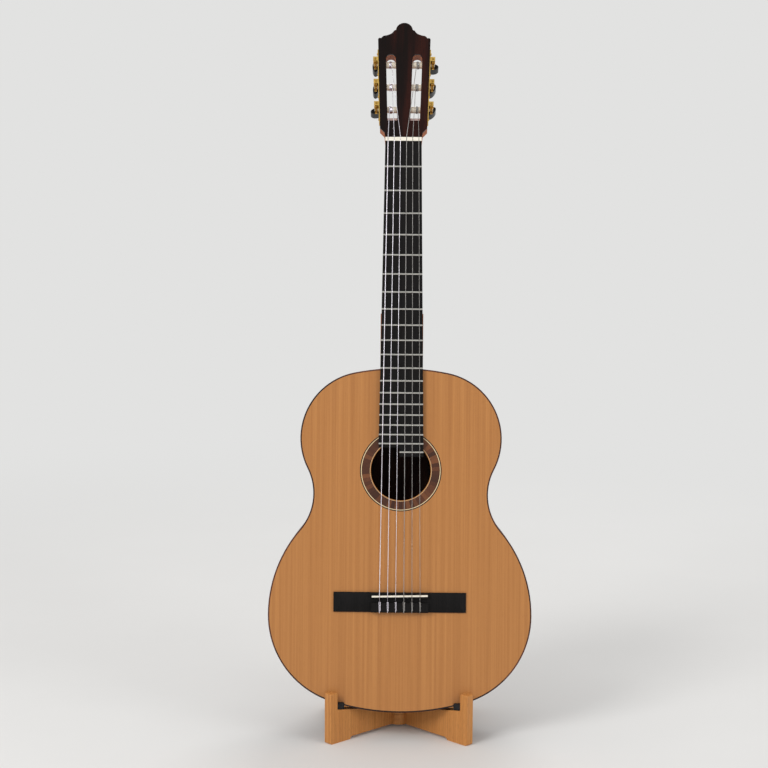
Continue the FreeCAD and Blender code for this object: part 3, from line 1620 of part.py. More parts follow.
def make_hinge_pin():
    body = new_body("HingePin")
    profile = sketch_on(body, "XZ_Plane", "PinProfile")
    radius = size("pin_radius")
    head = size("pin_head_radius")
    low = size("foot_relief") - 0.2
    high = size("shelf_rear_height") + 0.2
    tall = size("pin_head_height")
    draw(profile, (0, low - tall), (
        (head, low - tall),
        (head, low),
        (radius, low),
        (radius, high),
        (head, high),
        (head * 0.9, high + tall * 0.7, head * 0.6, high + tall),
        (0, high + tall),
        (0, low - tall),
    ))
    turned = body.newObject("PartDesign::Revolution", "PinTurned")
    turned.Profile = profile
    turned.ReferenceAxis = (profile, ["V_Axis"])
    turned.Angle = 360
    place = FreeCAD.Placement(V(0, crossing_y(), 0), FreeCAD.Rotation())
    node(body, "hinge_pin", STAND_NODES, place)


def shelf_height(reach):
    """Height of the sloping shelf at one distance from the hinge pin."""
    post = size("leg_reach") - size("post_length")
    rise = size("shelf_front_height") - size("shelf_rear_height")
    return size("shelf_rear_height") + rise * reach / post


def guitar_envelope():
    """Outer shape of the sound box, grown by the clearance that the pads keep from it."""
    clearance = size("rest_clearance")
    edges = []
    for side in (1, -1):
        for start, middle, end in half_outline(-clearance, side=side):
            points = [V(p.x, -clearance, p.y) for p in (start, middle, end)]
            edges.append(Part.Arc(*points).toShape())
    face = Part.Face(Part.Wire(Part.__sortEdges__(edges)))
    envelope = face.extrude(V(0, size("back_depth") + 20, 0))
    radius = size("back_radius") + clearance
    centre = V(0, size("back_depth") - size("back_radius"), -size("back_apex_drop"))
    envelope = envelope.common(Part.makeSphere(radius, centre))
    envelope.Placement = GUITAR
    return envelope


def make_pads(side, label):
    """Black pads on one leg: at the lip, on the inner shelf and on the arm."""
    reach = size("leg_reach")
    post = reach - size("post_length")
    start = post - size("pad_length")
    frame = leg_placement(side)
    envelope = guitar_envelope()
    envelope.Placement = frame.inverse().multiply(GUITAR)
    gap = size("leg_gap")
    thick = size("leg_thickness")

    def slab(profile_points, outward):
        sign = outward * side
        y = gap if sign > 0 else -gap - thick
        wire = Part.makePolygon([V(u, y, w) for u, w in profile_points + profile_points[:1]])
        return Part.Face(wire).extrude(V(0, thick, 0))

    lip = slab([(start, shelf_height(start)), (post, size("shelf_front_height")), (post, size("pad_top")),
                (start, size("pad_top"))], 1)
    inner_start = size("inner_pad_start")
    inner_end = inner_start + size("inner_pad_length")
    inner_low = shelf_height(inner_start)
    inner_high = shelf_height(inner_end)
    thickness = size("inner_pad_thickness")
    inner = slab([(inner_start, inner_low), (inner_end, inner_high),
                  (inner_end, inner_high + thickness), (inner_start, inner_low + thickness)], 1)
    low_z = size("arm_pad_low")
    high_z = size("arm_pad_high")
    arm_low = arm_edge(low_z)
    arm_high = arm_edge(high_z)
    forward = size("arm_pad_thickness")
    arm = slab([(-arm_low, low_z), (-arm_high, high_z),
                (forward - arm_high, high_z), (forward - arm_low, low_z)], -1)
    pieces = []
    for raw in (lip, inner, arm):
        trimmed = raw.cut(envelope)
        solids = sorted(trimmed.Solids, key=lambda item: item.Volume)
        pieces.append(solids[-1])
    made = fixed_shape("Pads_" + label, Part.makeCompound(pieces))
    node(made, label, STAND_NODES, frame)


def arm_edge(z):
    """Distance of the arm's front edge from the hinge pin, at one height."""
    low = arm_foot_reach()
    high = arm_head_reach()
    z_low = size("shelf_rear_height") + ARM_CORNER_LOW
    z_high = size("arm_height") - ARM_CORNER_HIGH
    return low + (high - low) * (z - z_low) / (z_high - z_low)


# ---------------------------------------------------------------- build

make_soundboard()
make_rosette()
make_back()
make_ribs()
make_bindings()
make_linings()
make_block("heel_block", -size("heel_block_length") - RIB, size("heel_block_length") + RIB)
make_block("tail_block", -size("body_length"), size("tail_block_length") + RIB)
make_tail_wedge()
make_bridge_patch()
make_soundboard_braces()
make_back_strip()
make_back_braces()
make_fretboard()
make_frets()
make_nut()
make_bridge()
make_saddle()
make_head_veneer()
make_neck()
make_heel_cap()
make_tuner_plate(-1, "tuner_plate_bass")
make_tuner_plate(1, "tuner_plate_treble")
make_plate_screws()
for tuner in range(6, 0, -1):
    make_roller(tuner)
    make_gear(tuner)
    make_worm(tuner)
    make_button(tuner)
for entry in STRINGS:
    make_string(entry)
make_leg(-1, "stand_leg_left")
make_leg(1, "stand_leg_right")
make_hinge_pin()
make_pads(-1, "pads_left")
make_pads(1, "pads_right")
DOC.recompute()

# ---------------------------------------------------------------- place, check and write

whole_box = FreeCAD.BoundBox()
for obj, local in GUITAR_NODES:
    obj.Placement = GUITAR * local
for obj, local in STAND_NODES:
    obj.Placement = local
DOC.recompute()
for obj, local in GUITAR_NODES + STAND_NODES:
    whole_box.add(obj.Shape.optimalBoundingBox(False, False))
middle_shift = V(-whole_box.Center.x, -whole_box.Center.y, -whole_box.ZMin)
for obj, local in GUITAR_NODES + STAND_NODES:
    obj.Placement = FreeCAD.Placement(middle_shift, FreeCAD.Rotation()) * obj.Placement
DOC.recompute()

failed = [obj.Name for obj in DOC.Objects if "Invalid" in obj.State or "Error" in obj.State]
if failed:
    raise RuntimeError("failed objects: " + ", ".join(failed))
for obj, local in GUITAR_NODES + STAND_NODES:
    if obj.Shape.isNull() or not obj.Shape.isValid():
        raise RuntimeError("bad shape: " + obj.Label)

os.makedirs("parts", exist_ok=True)
for obj, local in GUITAR_NODES + STAND_NODES:
    obj.Shape.exportStep("parts/%s.step" % obj.Label)
print("pieces:", len(GUITAR_NODES) + len(STAND_NODES), "shift:", middle_shift, "box:", whole_box)
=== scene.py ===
# %% [markdown]
# # A classical guitar on a folding stand
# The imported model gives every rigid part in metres, standing on the floor at height 0, with the player's
# side towards -Y. This script leaves those parts where they are. It gives each one the finish of its real
# material, and makes the few pieces again whose small detail a solid model leaves out.

# %% Load the frame
import json
import math

import bmesh
import bpy
from mathutils import Matrix, Vector


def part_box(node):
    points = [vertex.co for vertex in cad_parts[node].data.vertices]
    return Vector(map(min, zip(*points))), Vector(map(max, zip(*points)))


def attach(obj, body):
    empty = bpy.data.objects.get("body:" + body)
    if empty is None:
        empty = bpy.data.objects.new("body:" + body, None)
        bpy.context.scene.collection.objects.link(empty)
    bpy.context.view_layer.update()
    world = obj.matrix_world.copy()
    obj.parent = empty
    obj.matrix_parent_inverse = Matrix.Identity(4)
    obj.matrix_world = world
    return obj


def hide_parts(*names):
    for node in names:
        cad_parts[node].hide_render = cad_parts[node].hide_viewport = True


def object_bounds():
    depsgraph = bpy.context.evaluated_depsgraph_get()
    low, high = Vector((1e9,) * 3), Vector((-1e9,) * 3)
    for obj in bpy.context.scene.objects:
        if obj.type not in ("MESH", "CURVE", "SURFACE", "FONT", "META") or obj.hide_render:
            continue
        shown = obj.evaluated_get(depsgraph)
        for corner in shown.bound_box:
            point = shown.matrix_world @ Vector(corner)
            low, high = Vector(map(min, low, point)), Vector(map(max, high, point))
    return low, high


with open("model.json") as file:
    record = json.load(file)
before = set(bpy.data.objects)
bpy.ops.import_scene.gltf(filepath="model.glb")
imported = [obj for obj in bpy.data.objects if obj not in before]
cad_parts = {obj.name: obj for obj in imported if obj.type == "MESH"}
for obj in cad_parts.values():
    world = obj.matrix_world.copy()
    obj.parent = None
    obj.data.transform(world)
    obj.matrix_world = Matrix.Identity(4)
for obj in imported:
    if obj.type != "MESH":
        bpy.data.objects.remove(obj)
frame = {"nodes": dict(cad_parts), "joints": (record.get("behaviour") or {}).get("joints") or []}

nodes = frame["nodes"]
cad_low, cad_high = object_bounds()
print("parts:", len(nodes), "box:", [round(v, 4) for v in cad_high - cad_low])

# %% [markdown]
# The guitar leans back in its stand, and its head is tilted back again from the neck. The wood grain
# follows those two slopes. They could be typed in, but the flat front of the soundboard and the flat front
# of the head veneer already have them, so both are measured from the parts. The middle of the rosette is
# the place from which the patterns on the guitar are counted.

# %% Measure the lean and the rosette
def front_lean(node):
    """Angle by which the flat front of a part leans back, from the faces that look forward most."""
    facing = Vector((0, 0, 0))
    for face in nodes[node].data.polygons:
        if face.normal.y < -0.9:
            facing += face.normal * face.area
    return math.atan2(facing.z, -facing.y)


LEAN = front_lean("soundboard")
HEAD_LEAN = front_lean("head_veneer")
rosette_low, rosette_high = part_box("rosette")
HOLE = tuple((rosette_low + rosette_high) / 2)
HOLE_RIM = (rosette_high.x - rosette_low.x) / 2
print("lean:", round(math.degrees(LEAN), 2), "head:", round(math.degrees(HEAD_LEAN), 2))
print("rosette radius:", round(HOLE_RIM, 4))

# %% [markdown]
# ## Light, floor and camera
# A guitar is usually shown in a studio with large soft lamps, so that its varnish has wide, gentle
# highlights. Area lamps do this well. The room light is kept at a level at which a colour comes out about
# as it is written. The floor is one wide pale disc. Far from the guitar it takes on the plain colour of the
# backdrop, so that no horizon shows, and near the guitar it keeps the guitar's shadow.

# %% Shader helpers
scene = bpy.context.scene
scene.view_settings.view_transform = "Standard"


def add(tree, kind, inputs=None, **settings):
    """New shader node with its settings, its input values and its incoming links."""
    node = tree.nodes.new("ShaderNode" + kind)
    for name, value in settings.items():
        setattr(node, name, value)
    for key, value in (inputs or {}).items():
        if isinstance(value, bpy.types.NodeSocket):
            tree.links.new(value, node.inputs[key])
        else:
            node.inputs[key].default_value = value
    return node


def tone(red, green, blue):
    """Colour from its display values, 0 to 255, as the linear values that shaders use."""
    linear = []
    for value in (red / 255, green / 255, blue / 255):
        linear.append(value / 12.92 if value <= 0.04045 else ((value + 0.055) / 1.055) ** 2.4)
    return (*linear, 1.0)


def start_material(name):
    """Material with a Principled shader and an output, and nothing else."""
    material = bpy.data.materials.new(name)
    material.use_nodes = True
    tree = material.node_tree
    tree.nodes.clear()
    shader = add(tree, "BsdfPrincipled")
    add(tree, "OutputMaterial", {"Surface": shader.outputs["BSDF"]})
    return material, tree, shader


print("shader helpers ready")

# %% Floor
FLOOR_RADIUS = 30.0
floor_form = bmesh.new()
bmesh.ops.create_circle(floor_form, cap_ends=True, segments=96, radius=FLOOR_RADIUS)
floor_mesh = bpy.data.meshes.new("studio_floor")
floor_form.to_mesh(floor_mesh)
floor_form.free()
floor = bpy.data.objects.new("studio_floor", floor_mesh)
scene.collection.objects.link(floor)
print("floor radius:", FLOOR_RADIUS)

# %% Floor colour
BACKDROP = tone(226, 226, 225)
FADE_START = 0.5
FADE_END = 2.6
floor_material, tree, shader = start_material("pale_floor")
place = add(tree, "TexCoord").outputs["Object"]
mottle = add(tree, "TexNoise", {"Vector": place, "Scale": 3.0, "Detail": 4.0})
pale = add(tree, "ValToRGB", {"Fac": mottle.outputs["Fac"]})
pale.color_ramp.elements[0].color = tone(226, 225, 223)
pale.color_ramp.elements[1].color = tone(232, 231, 229)
tree.links.new(pale.outputs["Color"], shader.inputs["Base Color"])
shader.inputs["Roughness"].default_value = 0.85
distance = add(tree, "VectorMath", {0: place}, operation="LENGTH").outputs["Value"]
fade = add(tree, "MapRange", {"Value": distance, "From Min": FADE_START, "From Max": FADE_END},
           interpolation_type="SMOOTHSTEP")
glow = add(tree, "Emission", {"Color": BACKDROP, "Strength": 1.0})
whole = add(tree, "MixShader", {0: fade.outputs[0], 1: shader.outputs[0], 2: glow.outputs[0]})
tree.links.new(whole.outputs[0], tree.nodes["Material Output"].inputs["Surface"])
floor_mesh.materials.append(floor_material)
print("floor turns into backdrop from", FADE_START, "to", FADE_END, "metres")

# %% Soft lamps
def softbox(name, position, target, width, height, watts):
    """Large rectangular lamp aimed at a point."""
    lamp = bpy.data.lights.new(name, "AREA")
    lamp.shape = "RECTANGLE"
    lamp.size = width
    lamp.size_y = height
    lamp.energy = watts
    holder = bpy.data.objects.new(name, lamp)
    holder.location = position
    holder.rotation_euler = (Vector(target) - Vector(position)).to_track_quat("-Z", "Y").to_euler()
    scene.collection.objects.link(holder)


OBJECT_MIDDLE = (cad_low + cad_high) / 2
softbox("key_left", (-1.9, -2.2, 2.1), OBJECT_MIDDLE, width=1.3, height=1.6, watts=52)
softbox("fill_right", (2.4, -1.8, 1.3), OBJECT_MIDDLE, width=1.6, height=1.8, watts=22)
softbox("rear_top", (0.6, 2.3, 2.4), OBJECT_MIDDLE, width=1.8, height=1.4, watts=26)

# %% Room light and backdrop
ROOM_LIGHT = 0.55
world = bpy.data.worlds.new("studio_room")
scene.world = world
world.use_nodes = True
room = world.node_tree
room.nodes.clear()
ray = add(room, "LightPath").outputs
direct = add(room, "Math", {0: ray["Is Camera Ray"], 1: ray["Is Glossy Ray"]}, operation="MAXIMUM")
seen = add(room, "Math", {0: direct.outputs[0], 1: ray["Is Transmission Ray"]}, operation="MAXIMUM")
lighting = add(room, "Background", {"Color": (1, 1, 1, 1), "Strength": ROOM_LIGHT})
backdrop = add(room, "Background", {"Color": BACKDROP, "Strength": 1.0})
chosen = add(room, "MixShader", {0: seen.outputs[0], 1: lighting.outputs[0], 2: backdrop.outputs[0]})
add(room, "OutputWorld", {"Surface": chosen.outputs[0]})
print("room light:", ROOM_LIGHT)

# %% [markdown]
# The camera stands in front of the guitar, above its middle, and looks slightly down. It has a long lens,
# which keeps the head and the body in proportion. A wide lens close by would swell whatever is nearest to
# it.

# %% Camera
LENS_MM = 85
SENSOR_MM = 36
CAMERA_PLACE = Vector((0, -2.608, 0.849))
CAMERA_DOWN = math.radians(7.5)
CAMERA_ROLL = math.radians(-0.40)
CAMERA_YAW = math.radians(0.61)
camera_data = bpy.data.cameras.new("camera")
camera_data.lens = LENS_MM
camera_data.sensor_width = SENSOR_MM
camera = bpy.data.objects.new("camera", camera_data)
scene.collection.objects.link(camera)
scene.camera = camera
camera.location = CAMERA_PLACE
camera.rotation_euler = (math.radians(90) - CAMERA_DOWN, CAMERA_ROLL, CAMERA_YAW)
print("camera:", tuple(CAMERA_PLACE))

# %% [markdown]
# ## Shared effects for the finishes
# Nearly every part of a guitar is wood. Quarter-sawn wood has straight, even growth lines with slower
# streaks of colour, and short open pores. Flat-sawn rosewood has wide wavy bands instead. Both could be
# painted, but waves and noise that are stretched along the grain give them at any size, so each is one node
# group that all the woods share.

# %% Group helpers
def start_group(name, inputs, outputs):
    """Node group with named sockets: its tree, its incoming sockets and its outgoing sockets."""
    tree = bpy.data.node_groups.new(name, "ShaderNodeTree")
    for label, kind, value in inputs:
        socket = tree.interface.new_socket(label, in_out="INPUT", socket_type="NodeSocket" + kind)
        if value is not None:
            socket.default_value = value
    for label in outputs:
        tree.interface.new_socket(label, in_out="OUTPUT", socket_type="NodeSocketFloat")
    return tree, tree.nodes.new("NodeGroupInput").outputs, tree.nodes.new("NodeGroupOutput").inputs


def math_node(tree, operation, first, second=0.0, third=0.0, clamp=False):
    """Result of one Math node."""
    return add(tree, "Math", {0: first, 1: second, 2: third}, operation=operation, use_clamp=clamp).outputs[0]


def stretched_noise(tree, vector, scale, detail=3.0, roughness=0.5):
    """Noise from 0 to 1; scale is how often it changes in a metre along X, Y and Z."""
    stretched = add(tree, "VectorMath", {0: vector, 1: scale}, operation="MULTIPLY").outputs[0]
    inputs = {"Vector": stretched, "Scale": 1.0, "Detail": detail, "Roughness": roughness}
    return add(tree, "TexNoise", inputs).outputs["Fac"]


def between(tree, value, low, high):
    """Value as 0 at low, 1 at high, and straight in between."""
    return add(tree, "MapRange", {"Value": value, "From Min": low, "From Max": high}).outputs["Result"]


def blend_colour(tree, factor, first, second):
    """Mix of two colours."""
    node = add(tree, "Mix", {"Factor": factor}, data_type="RGBA")
    for socket, value in ((node.inputs[6], first), (node.inputs[7], second)):
        if isinstance(value, bpy.types.NodeSocket):
            tree.links.new(value, socket)
        else:
            socket.default_value = value
    return node.outputs[2]


print("group helpers ready")

# %% Straight grain
TURN = 2 * math.pi
WANDER = (26, 26, 2.2)
LINE_STRENGTH = (190, 190, 1.2)
STREAKS = (150, 150, 1.3)
PORES = (2300, 2300, 95)
SILK = (130, 130, 1500)
straight, given, result = start_group(
    "straight_grain",
    (("Vector", "Vector", None), ("Spacing", "Float", 0.0013), ("Drift", "Float", 0.003)),
    ("Lines", "Streaks", "Pores", "Silk"),
)
across = add(straight, "SeparateXYZ", {0: given["Vector"]}).outputs["X"]
slow = stretched_noise(straight, given["Vector"], WANDER, 2.0)
wander = math_node(straight, "MULTIPLY", math_node(straight, "SUBTRACT", slow, 0.5), given["Drift"])
rings = math_node(straight, "DIVIDE", math_node(straight, "ADD", across, wander), given["Spacing"])
swing = math_node(straight, "SINE", math_node(straight, "MULTIPLY", rings, TURN))
soft_line = math_node(straight, "MULTIPLY_ADD", swing, 0.5, 0.5)
sharp_line = math_node(straight, "POWER", soft_line, 2.5)
strength = between(straight, stretched_noise(straight, given["Vector"], LINE_STRENGTH, 3.0), 0.3, 0.7)
straight.links.new(math_node(straight, "MULTIPLY", sharp_line, strength), result["Lines"])
straight.links.new(stretched_noise(straight, given["Vector"], STREAKS, 6.0, 0.72), result["Streaks"])
dashes = stretched_noise(straight, given["Vector"], PORES, 1.0)
straight.links.new(between(straight, dashes, 0.60, 0.70), result["Pores"])
flecks = stretched_noise(straight, given["Vector"], SILK, 2.0)
straight.links.new(between(straight, flecks, 0.52, 0.72), result["Silk"])
print(straight.name, [s.name for s in straight.interface.items_tree])

# %% Figured grain
CONTOURS = (24, 24, 1.7)
FIBRES = (620, 620, 9)
LONG_PORES = (2100, 2100, 80)
figured, given, result = start_group(
    "figured_grain",
    (("Vector", "Vector", None), ("Bands", "Float", 30.0)),
    ("Figure", "Pores"),
)
contour = stretched_noise(figured, given["Vector"], CONTOURS, 3.0)
wave = math_node(figured, "SINE", math_node(figured, "MULTIPLY", contour, given["Bands"]))
wide = math_node(figured, "MULTIPLY_ADD", wave, 0.5, 0.5)
fibres = stretched_noise(figured, given["Vector"], FIBRES, 3.0)
bands = math_node(figured, "MULTIPLY_ADD", wide, 0.8, -0.25)
figured.links.new(math_node(figured, "MULTIPLY_ADD", fibres, 0.7, bands, clamp=True), result["Figure"])
dashes = stretched_noise(figured, given["Vector"], LONG_PORES, 1.0)
figured.links.new(between(figured, dashes, 0.60, 0.68), result["Pores"])
print(figured.name, [s.name for s in figured.interface.items_tree])

# %% [markdown]
# Anything that is handled gets faint smudges in its gloss, and fine hairline scratches. Even a well kept
# guitar shows them under a soft lamp. They only change the roughness, so one group gives them for wood,
# metal and plastic alike.

# %% Handling marks
HAIRLINES = (1500, 1500, 24)
handled, given, result = start_group(
    "handling_marks",
    (("Vector", "Vector", None), ("Size", "Float", 22.0)),
    ("Smudges", "Hairlines"),
)
blotches = {"Vector": given["Vector"], "Scale": given["Size"], "Detail": 5.0, "Roughness": 0.62}
smudge = add(handled, "TexNoise", blotches)
handled.links.new(between(handled, smudge.outputs["Fac"], 0.35, 0.68), result["Smudges"])
slanted = {"Vector": given["Vector"], "Rotation": (0.3, 0.5, 0.2), "Scale": HAIRLINES}
turned = add(handled, "Mapping", slanted)
hair = add(handled, "TexNoise", {"Vector": turned.outputs[0], "Scale": 1.0, "Detail": 1.0})
handled.links.new(between(handled, hair.outputs["Fac"], 0.68, 0.76), result["Hairlines"])
print(handled.name, [s.name for s in handled.interface.items_tree])

# %% [markdown]
# ## The woods
# A wood finish here has a light and a dark tone that the streaks mix, a third tone for the growth lines,
# and one for the pores. The varnish is a thin clear coat on the soundboard, back and ribs, and the head,
# neck, fretboard and stand have none. The grain runs along the guitar, so its pattern is turned by the same
# lean.

# %% Pattern helpers
def ramp(tree, factor, *stops):
    """Colour ramp with any number of stops."""
    node = add(tree, "ValToRGB", {"Fac": factor})
    elements = node.color_ramp.elements
    while len(elements) < len(stops):
        elements.new(0.5)
    for element, (place, colour) in zip(elements, stops):
        element.position = place
        element.color = colour
    return node.outputs["Color"]


def grain_vector(tree, lean=0.0, scale=(1, 1, 1), turn=(0, 0, 0), mirror=False, origin=(0, 0, 0)):
    """Object coordinates with X across the grain and Z along it."""
    place = add(tree, "TexCoord").outputs["Object"]
    if lean or origin != (0, 0, 0):
        place = add(tree, "Mapping", {"Vector": place, "Location": [-v for v in origin]}).outputs[0]
        place = add(tree, "Mapping", {"Vector": place, "Rotation": (lean, 0, 0)}).outputs[0]
    if mirror:
        parts = add(tree, "SeparateXYZ", {0: place})
        side = math_node(tree, "ABSOLUTE", parts.outputs["X"])
        place = add(tree, "CombineXYZ", {0: side, 1: parts.outputs["Y"], 2: parts.outputs["Z"]}).outputs[0]
    return add(tree, "Mapping", {"Vector": place, "Rotation": turn, "Scale": scale}).outputs[0]


def group_in(tree, group, inputs):
    """One of the shared groups, placed in a material."""
    node = tree.nodes.new("ShaderNodeGroup")
    node.node_tree = group
    for key, value in inputs.items():
        if isinstance(value, bpy.types.NodeSocket):
            tree.links.new(value, node.inputs[key])
        else:
            node.inputs[key].default_value = value
    return node.outputs


def finish_surface(tree, shader, vector, colour, smooth, rough, marks=22.0, height=None, depth=0.00003):
    """Colour, roughness with handling marks, and bump."""
    tree.links.new(colour, shader.inputs["Base Color"])
    marks_out = group_in(tree, handled, {"Vector": vector, "Size": marks})
    varied = math_node(tree, "MULTIPLY_ADD", marks_out["Hairlines"], 0.12, marks_out["Smudges"], clamp=True)
    gloss = add(tree, "MapRange", {"Value": varied, "To Min": smooth, "To Max": rough})
    tree.links.new(gloss.outputs[0], shader.inputs["Roughness"])
    if height is not None:
        bump = add(tree, "Bump", {"Height": height, "Distance": depth, "Strength": 1.0})
        tree.links.new(bump.outputs[0], shader.inputs["Normal"])


print("pattern helpers ready")

# %% Quarter-sawn and flat-sawn wood
def straight_wood(name, vector_settings, light, dark, line, pore, spacing, line_share, pore_share,
                  smooth, rough, coat=0.0, silk_share=0.0, drift=0.003, shine=0.5):
    """Quarter-sawn wood."""
    material, tree, shader = start_material(name)
    vector = grain_vector(tree, **vector_settings)
    grain = group_in(tree, straight, {"Vector": vector, "Spacing": spacing, "Drift": drift})
    colour = ramp(tree, grain["Streaks"], (0.22, dark), (0.78, light))
    colour = blend_colour(tree, math_node(tree, "MULTIPLY", grain["Lines"], line_share), colour, line)
    if silk_share:
        colour = blend_colour(tree, math_node(tree, "MULTIPLY", grain["Silk"], silk_share), colour, light)
    colour = blend_colour(tree, math_node(tree, "MULTIPLY", grain["Pores"], pore_share), colour, pore)
    raised = math_node(tree, "MULTIPLY", grain["Lines"], 0.4)
    height = math_node(tree, "MULTIPLY_ADD", grain["Pores"], -pore_share, raised)
    finish_surface(tree, shader, vector, colour, smooth, rough, height=height)
    shader.inputs["Coat Weight"].default_value = coat
    shader.inputs["Coat Roughness"].default_value = 0.12
    shader.inputs["Specular IOR Level"].default_value = shine
    return material


def figured_wood(name, vector_settings, light, middle, dark, pore, bands, smooth, rough, coat,
                 inside_uncoated_with_painted_shade=False, shine=0.25):
    """Flat-sawn rosewood; optionally, faces that look towards -Y have no varnish and are darkened with
    painted shade.
    """
    material, tree, shader = start_material(name)
    vector = grain_vector(tree, **vector_settings)
    grain = group_in(tree, figured, {"Vector": vector, "Bands": bands})
    colour = ramp(tree, grain["Figure"], (0.15, dark), (0.5, middle), (0.9, light))
    colour = blend_colour(tree, math_node(tree, "MULTIPLY", grain["Pores"], 0.7), colour, pore)
    height = math_node(tree, "MULTIPLY", grain["Pores"], -0.6)
    finish_surface(tree, shader, vector, colour, smooth, rough, height=height)
    shader.inputs["Coat Weight"].default_value = coat
    shader.inputs["Coat Roughness"].default_value = 0.22
    shader.inputs["Specular IOR Level"].default_value = shine
    if inside_uncoated_with_painted_shade:
        # Inside the sound box the back gets no varnish and a dull finish, and its colour is pulled towards
        # the pore tone as painted shade.
        facing = add(tree, "SeparateXYZ", {0: add(tree, "TexCoord").outputs["Normal"]}).outputs["Y"]
        uncoated_and_painted_shade_mask = between(tree, facing, 0.1, -0.1)
        painted_shade_colour = blend_colour(tree, math_node(tree, "MULTIPLY", uncoated_and_painted_shade_mask, 0.8), colour, pore)
        tree.links.new(painted_shade_colour, shader.inputs["Base Color"])
        coated = add(tree, "MapRange", {"Value": uncoated_and_painted_shade_mask, "To Min": coat, "To Max": 0.0}).outputs[0]
        tree.links.new(coated, shader.inputs["Coat Weight"])
        gloss = shader.inputs["Roughness"].links[0].from_socket
        dull = add(tree, "Mix", {0: uncoated_and_painted_shade_mask, 2: gloss, 3: 0.8}, data_type="FLOAT").outputs[0]
        tree.links.new(dull, shader.inputs["Roughness"])
    return material


ALONG = {"lean": LEAN, "origin": HOLE}
finishes = {}
print("wood helpers ready")

# %% Cedar soundboard
finishes["cedar_top"] = straight_wood(
    "cedar_top", {**ALONG, "mirror": True},
    light=tone(194, 134, 74), dark=tone(161, 103, 50), line=tone(130, 77, 34), pore=tone(124, 74, 34),
    spacing=0.0012, line_share=0.45, pore_share=0.12, smooth=0.34, rough=0.46,
    coat=0.12, silk_share=0.12, shine=0.35,
)
print("cedar ready")

# %% [markdown]
# Rosewood makes the back, the ribs with their bindings, and the veneer of the head. The ribs are bent round
# the body, so their pattern is turned to run round it. Inside the sound box the back is bare wood, and its
# colour there is darkened with painted shade. That could be a second material, but the back is one part, so
# a mask by the direction of each face gives it.

# %% Rosewood back, ribs and bindings
AROUND_BODY = {**ALONG, "scale": (0.04, 1, 0.30), "turn": (0, 0, math.radians(90))}
finishes["rosewood"] = figured_wood(
    "rosewood", {**ALONG, "mirror": True},
    light=tone(104, 56, 38), middle=tone(66, 32, 23), dark=tone(34, 17, 14), pore=tone(14, 7, 6),
    bands=30.0, smooth=0.24, rough=0.36, coat=0.22, inside_uncoated_with_painted_shade=True,
)
rib_rosewood = figured_wood(
    "rib_rosewood", AROUND_BODY,
    light=tone(94, 50, 34), middle=tone(60, 29, 21), dark=tone(32, 15, 12), pore=tone(14, 7, 6),
    bands=30.0, smooth=0.26, rough=0.38, coat=0.16,
)
finishes["dark_rosewood"] = figured_wood(
    "dark_rosewood", {"lean": HEAD_LEAN, "origin": HOLE},
    light=tone(46, 18, 12), middle=tone(28, 11, 8), dark=tone(17, 8, 6), pore=tone(7, 4, 3),
    bands=22.0, smooth=0.26, rough=0.38, coat=0.0, shine=0.12,
)
print("rosewoods ready")

# %% Ebony, neck cedar, spruce and maple
finishes["ebony"] = straight_wood(
    "ebony", ALONG,
    light=tone(27, 25, 25), dark=tone(14, 13, 13), line=tone(9, 9, 10), pore=tone(4, 4, 5),
    spacing=0.0031, line_share=0.5, pore_share=0.7, smooth=0.36, rough=0.50, drift=0.02, shine=0.1,
)
finishes["neck_cedar"] = straight_wood(
    "neck_cedar", ALONG,
    light=tone(182, 104, 52), dark=tone(150, 78, 36), line=tone(122, 60, 28), pore=tone(84, 40, 18),
    spacing=0.0042, line_share=0.35, pore_share=0.65, smooth=0.44, rough=0.58, drift=0.02, shine=0.3,
)
finishes["spruce"] = straight_wood(
    "spruce", ALONG,
    light=tone(226, 196, 148), dark=tone(210, 176, 124), line=tone(184, 142, 92), pore=tone(170, 130, 84),
    spacing=0.0014, line_share=0.45, pore_share=0.1, smooth=0.55, rough=0.7,
)
finishes["maple"] = straight_wood(
    "maple", ALONG,
    light=tone(222, 194, 150), dark=tone(204, 172, 126), line=tone(190, 156, 110), pore=tone(168, 130, 88),
    spacing=0.0024, line_share=0.3, pore_share=0.2, smooth=0.45, rough=0.6,
)
finishes["stand_wood"] = straight_wood(
    "stand_wood", {},
    light=tone(208, 146, 80), dark=tone(182, 117, 57), line=tone(152, 92, 42), pore=tone(124, 74, 34),
    spacing=0.0036, line_share=0.42, pore_share=0.5, smooth=0.42, rough=0.58, drift=0.03, shine=0.35,
)
print("other woods ready")

# %% [markdown]
# ## The rosette
# Round the sound hole is a ring of small brown wood tiles between thin pale lines, with one dark line
# outside. It could be hundreds of inlaid solids. It is flush with the soundboard, so the rings are drawn by
# the distance from the middle of the hole, and the tiles by the angle round it.

# %% Rosette inlay
TILE_COUNT = 58
INNER_LINE_END = 0.756
OUTER_LINE_START = 0.957
OUTER_LINE_END = 0.974
material, tree, shader = start_material("rosette_wood")
centred = grain_vector(tree, **ALONG)
parts = add(tree, "SeparateXYZ", {0: centred})
flat = add(tree, "CombineXYZ", {0: parts.outputs["X"], 1: parts.outputs["Z"]}).outputs[0]
length = add(tree, "VectorMath", {0: flat}, operation="LENGTH").outputs["Value"]
radius = math_node(tree, "DIVIDE", length, HOLE_RIM)
angle = math_node(tree, "ARCTAN2", parts.outputs["Z"], parts.outputs["X"])
tile = math_node(tree, "FLOOR", math_node(tree, "MULTIPLY", angle, TILE_COUNT / TURN))
shade = add(tree, "TexWhiteNoise", {"W": tile}, noise_dimensions="1D").outputs["Value"]
fibre_radius = math_node(tree, "MULTIPLY", radius, 40)
fibre_angle = math_node(tree, "MULTIPLY", angle, 160)
fibre_place = add(tree, "CombineXYZ", {0: fibre_radius, 1: fibre_angle, 2: shade}).outputs[0]
fibre = add(tree, "TexNoise", {"Vector": fibre_place, "Scale": 1.0, "Detail": 4.0}).outputs["Fac"]
